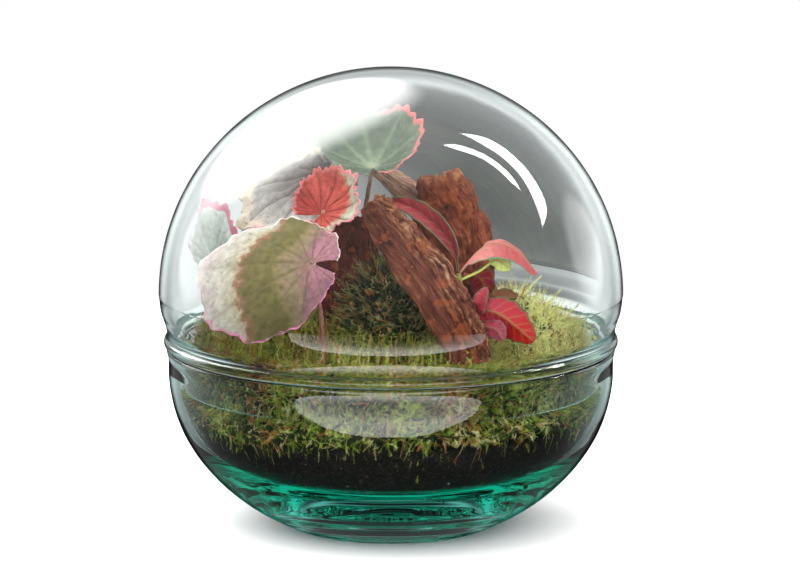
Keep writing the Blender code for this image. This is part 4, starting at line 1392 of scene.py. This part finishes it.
def saxifrage_material(name, spec):
    """A saxifrage leaf: fleshy, faintly hairy and satin, grey-green with a pink toothed margin.

    The colours run into each other along a ragged line, and small dark spots lie about 2 mm apart. The
    crumpled blade's ridges are lightened and its creases darkened as painted light and shade, and the front
    leaf's lower side is darkened as painted shade.
    """
    finish, tree = material(name)
    marks = ("share", "tipward", "sideward", "vein")
    marks = [node(tree, MARK, attribute_name=mark) for mark in marks]
    share, tipward, sideward, vein = (mark.outputs["Fac"] for mark in marks)
    ragged = node(tree, MATH, (grain(tree, 4.5, 3.0), 0.5), operation="SUBTRACT")
    whole, tip_part, side_part = spec["lie"]
    place = node(tree, MATH, (share, whole), operation="MULTIPLY")
    place = weighed_sum(tree, place, (tipward, tip_part), (sideward, side_part), (ragged, 0.24))
    colour = node(tree, RAMP, (place,), spec["zones"])

    rim_one, rim_two, rim_start, (rim_tip, rim_side, rim_all) = spec["rim"]
    out = weighed_sum(tree, share, (ragged, 0.14))
    out = node(tree, RANGE, (out, rim_start, rim_start + 0.03))
    there = weighed_sum(tree, rim_all, (tipward, rim_tip), (sideward, rim_side))
    there = node(tree, RANGE, (there, -0.1, 0.15))
    rimmed = node(tree, MATH, (out, there), operation="MULTIPLY")
    inward = node(tree, MATH, (1.0, rimmed), operation="SUBTRACT")
    veined = node(tree, MATH, (vein, 0.6), operation="MULTIPLY")
    veined = node(tree, MATH, (veined, inward), operation="MULTIPLY")
    colour = node(tree, MIX, (veined, colour, srgb(spec["vein"])), **COLOUR)
    turned = node(tree, RANGE, (sideward, 0.1, 0.5))
    rim = node(tree, MIX, (turned, srgb(rim_one), srgb(rim_two)), **COLOUR)
    colour = node(tree, MIX, (rimmed, colour, rim), **COLOUR)

    # Painted light and shade: the crumpled blade's ridges are lightened and its creases darkened by their
    # Pointiness. From here mottle holds this painted shade as well as the leaf's own mottling.
    ridge_light_and_crease_shade = node(tree, "ShaderNodeNewGeometry").outputs["Pointiness"]
    ridge_light_and_crease_shade = node(tree, MATH, (ridge_light_and_crease_shade, 0.5), operation="SUBTRACT")
    mottle = node(tree, RANGE, (grain(tree, 3.2, 4.0), 0.3, 0.7, 0.75, 1.15))
    mottle = weighed_sum(tree, mottle, (ridge_light_and_crease_shade, 3.0))
    # Painted shade: the blade darkens towards its sideward edge, which is the lower side on the front leaf.
    # The rim is kept out of it.
    lower_side_painted_shade = node(tree, RANGE, (sideward, 0.1, 0.7, 1.0, 1 - spec.get("lower_side_painted_shade", 0)))
    lower_side_painted_shade = node(tree, MATH, (lower_side_painted_shade, rimmed), operation="MAXIMUM")
    mottle = node(tree, MATH, (mottle, lower_side_painted_shade), operation="MULTIPLY")
    shade = node(tree, "ShaderNodeCombineColor", (mottle, mottle, mottle))
    colour = node(tree, MIX, (1.0, colour, shade), blend_type="MULTIPLY", **COLOUR)
    colour = speckled(tree, colour, "4a3430", 0.4, 0.69, 1.9, 1.0)
    fuzz = weighed_sum(tree, grain(tree, 0.9), (grain(tree, 3.0), 1.5))
    gloss = {"Roughness": 0.6, "Specular_IOR_Level": 0.3, "Sheen_Weight": 0.12, "Sheen_Roughness": 0.5}
    surfaced(tree, fuzz, 0.16, Base_Color=colour, **gloss)
    return finish


def stalk_material(name, low, high, spot):
    """A soft stalk: satin, paler up its length, with streaks of its second colour."""
    finish, tree = material(name)
    place = node(tree, COORDINATES).outputs["Object"]
    tall = node(tree, "ShaderNodeSeparateXYZ", (place,)).outputs["Z"]
    rise = node(tree, RANGE, (tall, 0.1, 0.17))
    colour = node(tree, MIX, (rise, srgb(low), srgb(high)), **COLOUR)
    colour = speckled(tree, colour, spot, 0.5, 0.56, 2.5, 3.0)
    surfaced(tree, grain(tree, 1.0), 0.1, Base_Color=colour, Roughness=0.5)
    return finish


def petiole_points(spec):
    """From the crown, or from the moss, through the waypoint to the blade."""
    tip, _, _ = leaf_frame(spec)
    way = Vector(spec["way"]) * MM
    if "root" in spec:
        root = Vector(spec["root"]) * MM
    else:
        leave = (way - CROWN).normalized()
        flat = (leave.x**2 + leave.y**2) / CROWN_RADIUS**2
        reach = 1 / math.sqrt(flat + leave.z**2 / (CROWN_HEIGHT / 2) ** 2)
        root = CROWN + leave * (reach - 1.0 * MM)
    return [root, way, Vector(spec["at"]) * MM + tip * 1.5 * MM]


def make_saxifrage():
    stalk_finish = stalk_material("saxifrage_petiole", "9a5c4c", "b98a78", "7c3f38")
    for number, (name, spec) in enumerate(SAXIFRAGE.items()):
        rows, marks = saxifrage_rows(spec, number * 1.7 + 0.4)
        sheet = grid_mesh(name + "_blade", rows, marks=marks)
        blade = shown(name + "_blade", outward(sheet), saxifrage_material(name + "_skin", spec))
        thick = blade.modifiers.new("flesh", "SOLIDIFY")
        thick.thickness = 0.55 * MM
        thick.offset = 0
        pressed(baked(blade))
        blade.data.shade_smooth()
        stalk = tube_rows(petiole_points(spec), PETIOLE_RADIUS * 1.05, PETIOLE_RADIUS * 0.85, bumps=0.12)
        stem_mesh = outward(grid_mesh(name + "_stalk", stalk, around=True, caps=True))
        stem = shown(name + "_stalk", stem_mesh, stalk_finish)
        fitted(joined(blade, stem), "saxifrage_leaf", name)

    rows = []
    for i in range(17):
        angle = math.pi * (i + 0.5) / 17
        row = []
        for k in range(28):
            turn = 2 * math.pi * k / 28
            scale = 1 + 0.16 * math.sin(turn * 5 + i * 0.6) + 0.1 * math.sin(i * 2.2)
            flat = CROWN_RADIUS * math.sin(angle) * scale
            high = CROWN_HEIGHT / 2 * math.cos(angle)
            row.append(CROWN + Vector((flat * math.cos(turn), flat * math.sin(turn), high)))
        rows.append(row)
    mesh = outward(grid_mesh("crown_scales", rows, around=True, caps=True))
    crown_finish = stalk_material("saxifrage_crown_scales", "6b4a38", "8a6650", "4a2c24")
    fitted(shown("crown_scales", mesh, crown_finish), "saxifrage_crown", "saxifrage_crown")


# ---------------------------------------------------------------- fittonia

FITTONIA_STEM = ((41, -36, 86), (38, -35, 98), (36, -33, 110), (34, -32, 122), (33, -30, 131))
FITTONIA_STEM_RADIUS = 1.4 * MM
STALK_SHARE = 0.12

FITTONIA = {
    # placed as the model has them; inner and outer: the blade's colours along its length
    "fittonia_leaf_long": dict(
        node=0.98, rib=((31, -23, 142), (24, -15, 151), (14, -9, 158), (4, -6, 162), (-4, -7, 162)),
        side=(0.7, 0.1, 0.7), width=6.6, fold=0.75, inner="7d202a", outer="a84048", margin="5f6a48",
    ),
    "fittonia_leaf_arch": dict(
        node=0.99, rib=((42, -33, 142), (50, -34, 146.5), (61, -36, 143), (71, -39, 132)),
        side=(0.1, 0.75, 0.6), width=7.8, fold=0.6, inner="e08480", outer="c04a52", margin="7d8a6c",
    ),
    "fittonia_leaf_maroon": dict(
        node=0.9, rib=((40, -24, 129), (45, -20, 125), (46, -18, 116), (46, -18, 107)),
        side=(0.9, 0.2, 0.1), width=6.5, fold=0.3, inner="a31f30", outer="8f1a28", margin="4f5236",
    ),
    "fittonia_leaf_small": dict(
        node=0.58, rib=((43, -42, 117), (45, -45, 122), (46.5, -47, 127)),
        side=(0.75, -0.4, -0.3), width=5, fold=0.5, inner="b82e44", outer="c84a5c", margin="56674a",
    ),
    "fittonia_leaf_red": dict(
        node=0.52, rib=((46.4, -40.7, 114.4), (54.3, -44.7, 112.3), (62.3, -49.7, 106.3), (69, -54, 101)),
        side=(0.35, 0.2, 0.9), width=10, fold=0.4, inner="b42c44", outer="b80d10", margin="5f6b48",
    ),
    "fittonia_leaf_pink": dict(
        node=0.42, rib=((46.5, -47.5, 107.6), (50.9, -54.8, 107.2), (54.2, -60, 103)),
        side=(0.5, 0.1, 0.8), width=5.5, fold=0.4, inner="a8354a", outer="98304a", margin="6b5a50",
    ),
    "fittonia_leaf_rear": dict(
        node=0.62, rib=((48, -28, 114), (55, -24, 117), (62, -20, 117)),
        side=(0.3, -0.2, 0.9), width=6.5, fold=0.3, inner="a8503c", outer="8d5a3c", margin="6a7242",
    ),
    "fittonia_leaf_young": dict(
        node=0.88, rib=((43, -31, 132), (51, -30, 137), (58, -32, 133)),
        # Its yellow-green is brightened as a painted highlight, to stand in for a glint on the leaf.
        side=(0.4, 0.3, 0.8), width=4.4, fold=0.2, inner="ccd860", outer="dfe884", margin="b9c766",
        stalk=0.55,
    ),
}


def fittonia_width(t, stalk):
    """Share of the half width along the midrib: a short stalk, then an oval blade."""
    blade = min(1.0, max(0.0, (t - stalk) / (1 - stalk)))
    return STALK_SHARE + (1 - STALK_SHARE) * max(0.0, math.sin(math.pi * blade**0.8)) ** 0.8


def fittonia_rows(spec, seed):
    """The leaf's sheet, folded along the midrib, quilted between its side veins."""
    first = Vector(spec["rib"][0]) * MM
    axis = spline(mm_points(*FITTONIA_STEM), spec["node"])
    leave = (first - axis).normalized()
    rib = [axis + leave * (FITTONIA_STEM_RADIUS - 0.4 * MM), *mm_points(*spec["rib"])]
    side = Vector(spec["side"]).normalized()
    stations = 84
    columns = 22
    rows = []
    marks = {"across": [], "run": [], "vein": []}
    for i in range(stations + 1):
        t = i / stations
        centre = spline(rib, t)
        ahead = heading(rib, t)
        across = (side - ahead * side.dot(ahead)).normalized()
        up = across.cross(ahead)
        wave = 1 + 0.035 * math.sin(t * 46 + seed) * smooth_unit((t - 0.2) * 4)
        swell = fittonia_width(t, spec.get("stalk", STALK_SHARE))
        half = spec["width"] * MM * swell * wave
        row = []
        veins = []
        for k in range(-columns, columns + 1):
            share = abs(k / columns)
            reach = half * k / columns
            lift = abs(reach) * math.sin(spec["fold"])
            rung = abs(((t * 9 - share * 1.1) % 1.0) - 0.5) * 2
            side_vein = math.exp(-(((1 - rung) / 0.16) ** 2)) * (1 - share) ** 0.5 * 0.8
            vein = max(side_vein, math.exp(-((share / 0.06) ** 2)))
            quilt = 0.35 * MM * (1 - vein) * math.sin(math.pi * min(1.0, share * 1.2)) * swell
            edge = 0.5 * MM * share**3 * math.sin(t * 30 + seed * 2 + (k > 0) * 1.5) * swell
            place = centre + across * reach * math.cos(spec["fold"]) + up * (lift + quilt + edge)
            row.append(place)
            veins.append(vein)
        rows.append(row)
        marks["across"].append([abs(k / columns) for k in range(-columns, columns + 1)])
        marks["run"].append([t] * (2 * columns + 1))
        marks["vein"].append(veins)
    return rows, marks


def fittonia_material(name, spec):
    """A red nerve-plant leaf: satin, pink to red, with olive veins and a thin grey-green margin."""
    finish, tree = material(name)
    marks = [node(tree, MARK, attribute_name=mark) for mark in ("run", "vein", "across")]
    run, vein, across = (mark.outputs["Fac"] for mark in marks)
    mottle = grain(tree, 2.6, 3.0)
    run = node(tree, MATH, (run, 0.25), operation="SUBTRACT")
    run = weighed_sum(tree, run, (mottle, 0.5))
    colour = node(tree, RAMP, (run,), ((0.25, spec["inner"]), (0.75, spec["outer"])))
    rib = node(tree, MATH, (vein, 0.55), operation="MULTIPLY")
    colour = node(tree, MIX, (rib, colour, srgb("8d8a4e")), **COLOUR)
    edge = node(tree, MATH, (across, 0.15), operation="SUBTRACT")
    edge = weighed_sum(tree, edge, (mottle, 0.3))
    rim = node(tree, RANGE, (edge, 0.84, 0.94))
    colour = node(tree, MIX, (rim, colour, srgb(spec["margin"])), **COLOUR)
    relief = grain(tree, 1.3)
    surfaced(tree, relief, 0.12, Base_Color=colour, Roughness=0.48, Specular_IOR_Level=0.35)
    return finish


def make_fittonia():
    for number, (name, spec) in enumerate(FITTONIA.items()):
        rows, marks = fittonia_rows(spec, number * 2.3)
        sheet = grid_mesh(name + "_blade", rows, marks=marks)
        leaf = shown(name + "_blade", outward(sheet), fittonia_material(name + "_skin", spec))
        thick = leaf.modifiers.new("flesh", "SOLIDIFY")
        thick.thickness = 0.5 * MM
        thick.offset = 0
        baked(leaf)
        leaf.data.shade_smooth()
        fitted(leaf, "fittonia_leaf", name)
    rows = tube_rows(mm_points(*FITTONIA_STEM), 1.5 * MM, 1.3 * MM, 14, 60, 0.15)
    mesh = outward(grid_mesh("fittonia_stalk", rows, around=True, caps=True))
    finish = stalk_material("fittonia_stem_skin", "8a8540", "a9a84c", "9a4a3c")
    fitted(shown("fittonia_stalk", mesh, finish), "fittonia_stem", "fittonia_stem")


# ---------------------------------------------------------------- the whole object

def allow_glass_paths():
    """Light runs along inside the thick base by many reflections, so its paths are cut off late."""
    paths = bpy.context.scene.cycles
    paths.max_bounces = 24
    paths.glossy_bounces = 16
    paths.transmission_bounces = 20


allow_glass_paths()
make_camera()
make_floor()
make_card()
make_world()
make_bowl()
make_dome()
make_soil()
make_moss()
make_bark()
make_saxifrage()
make_fittonia()
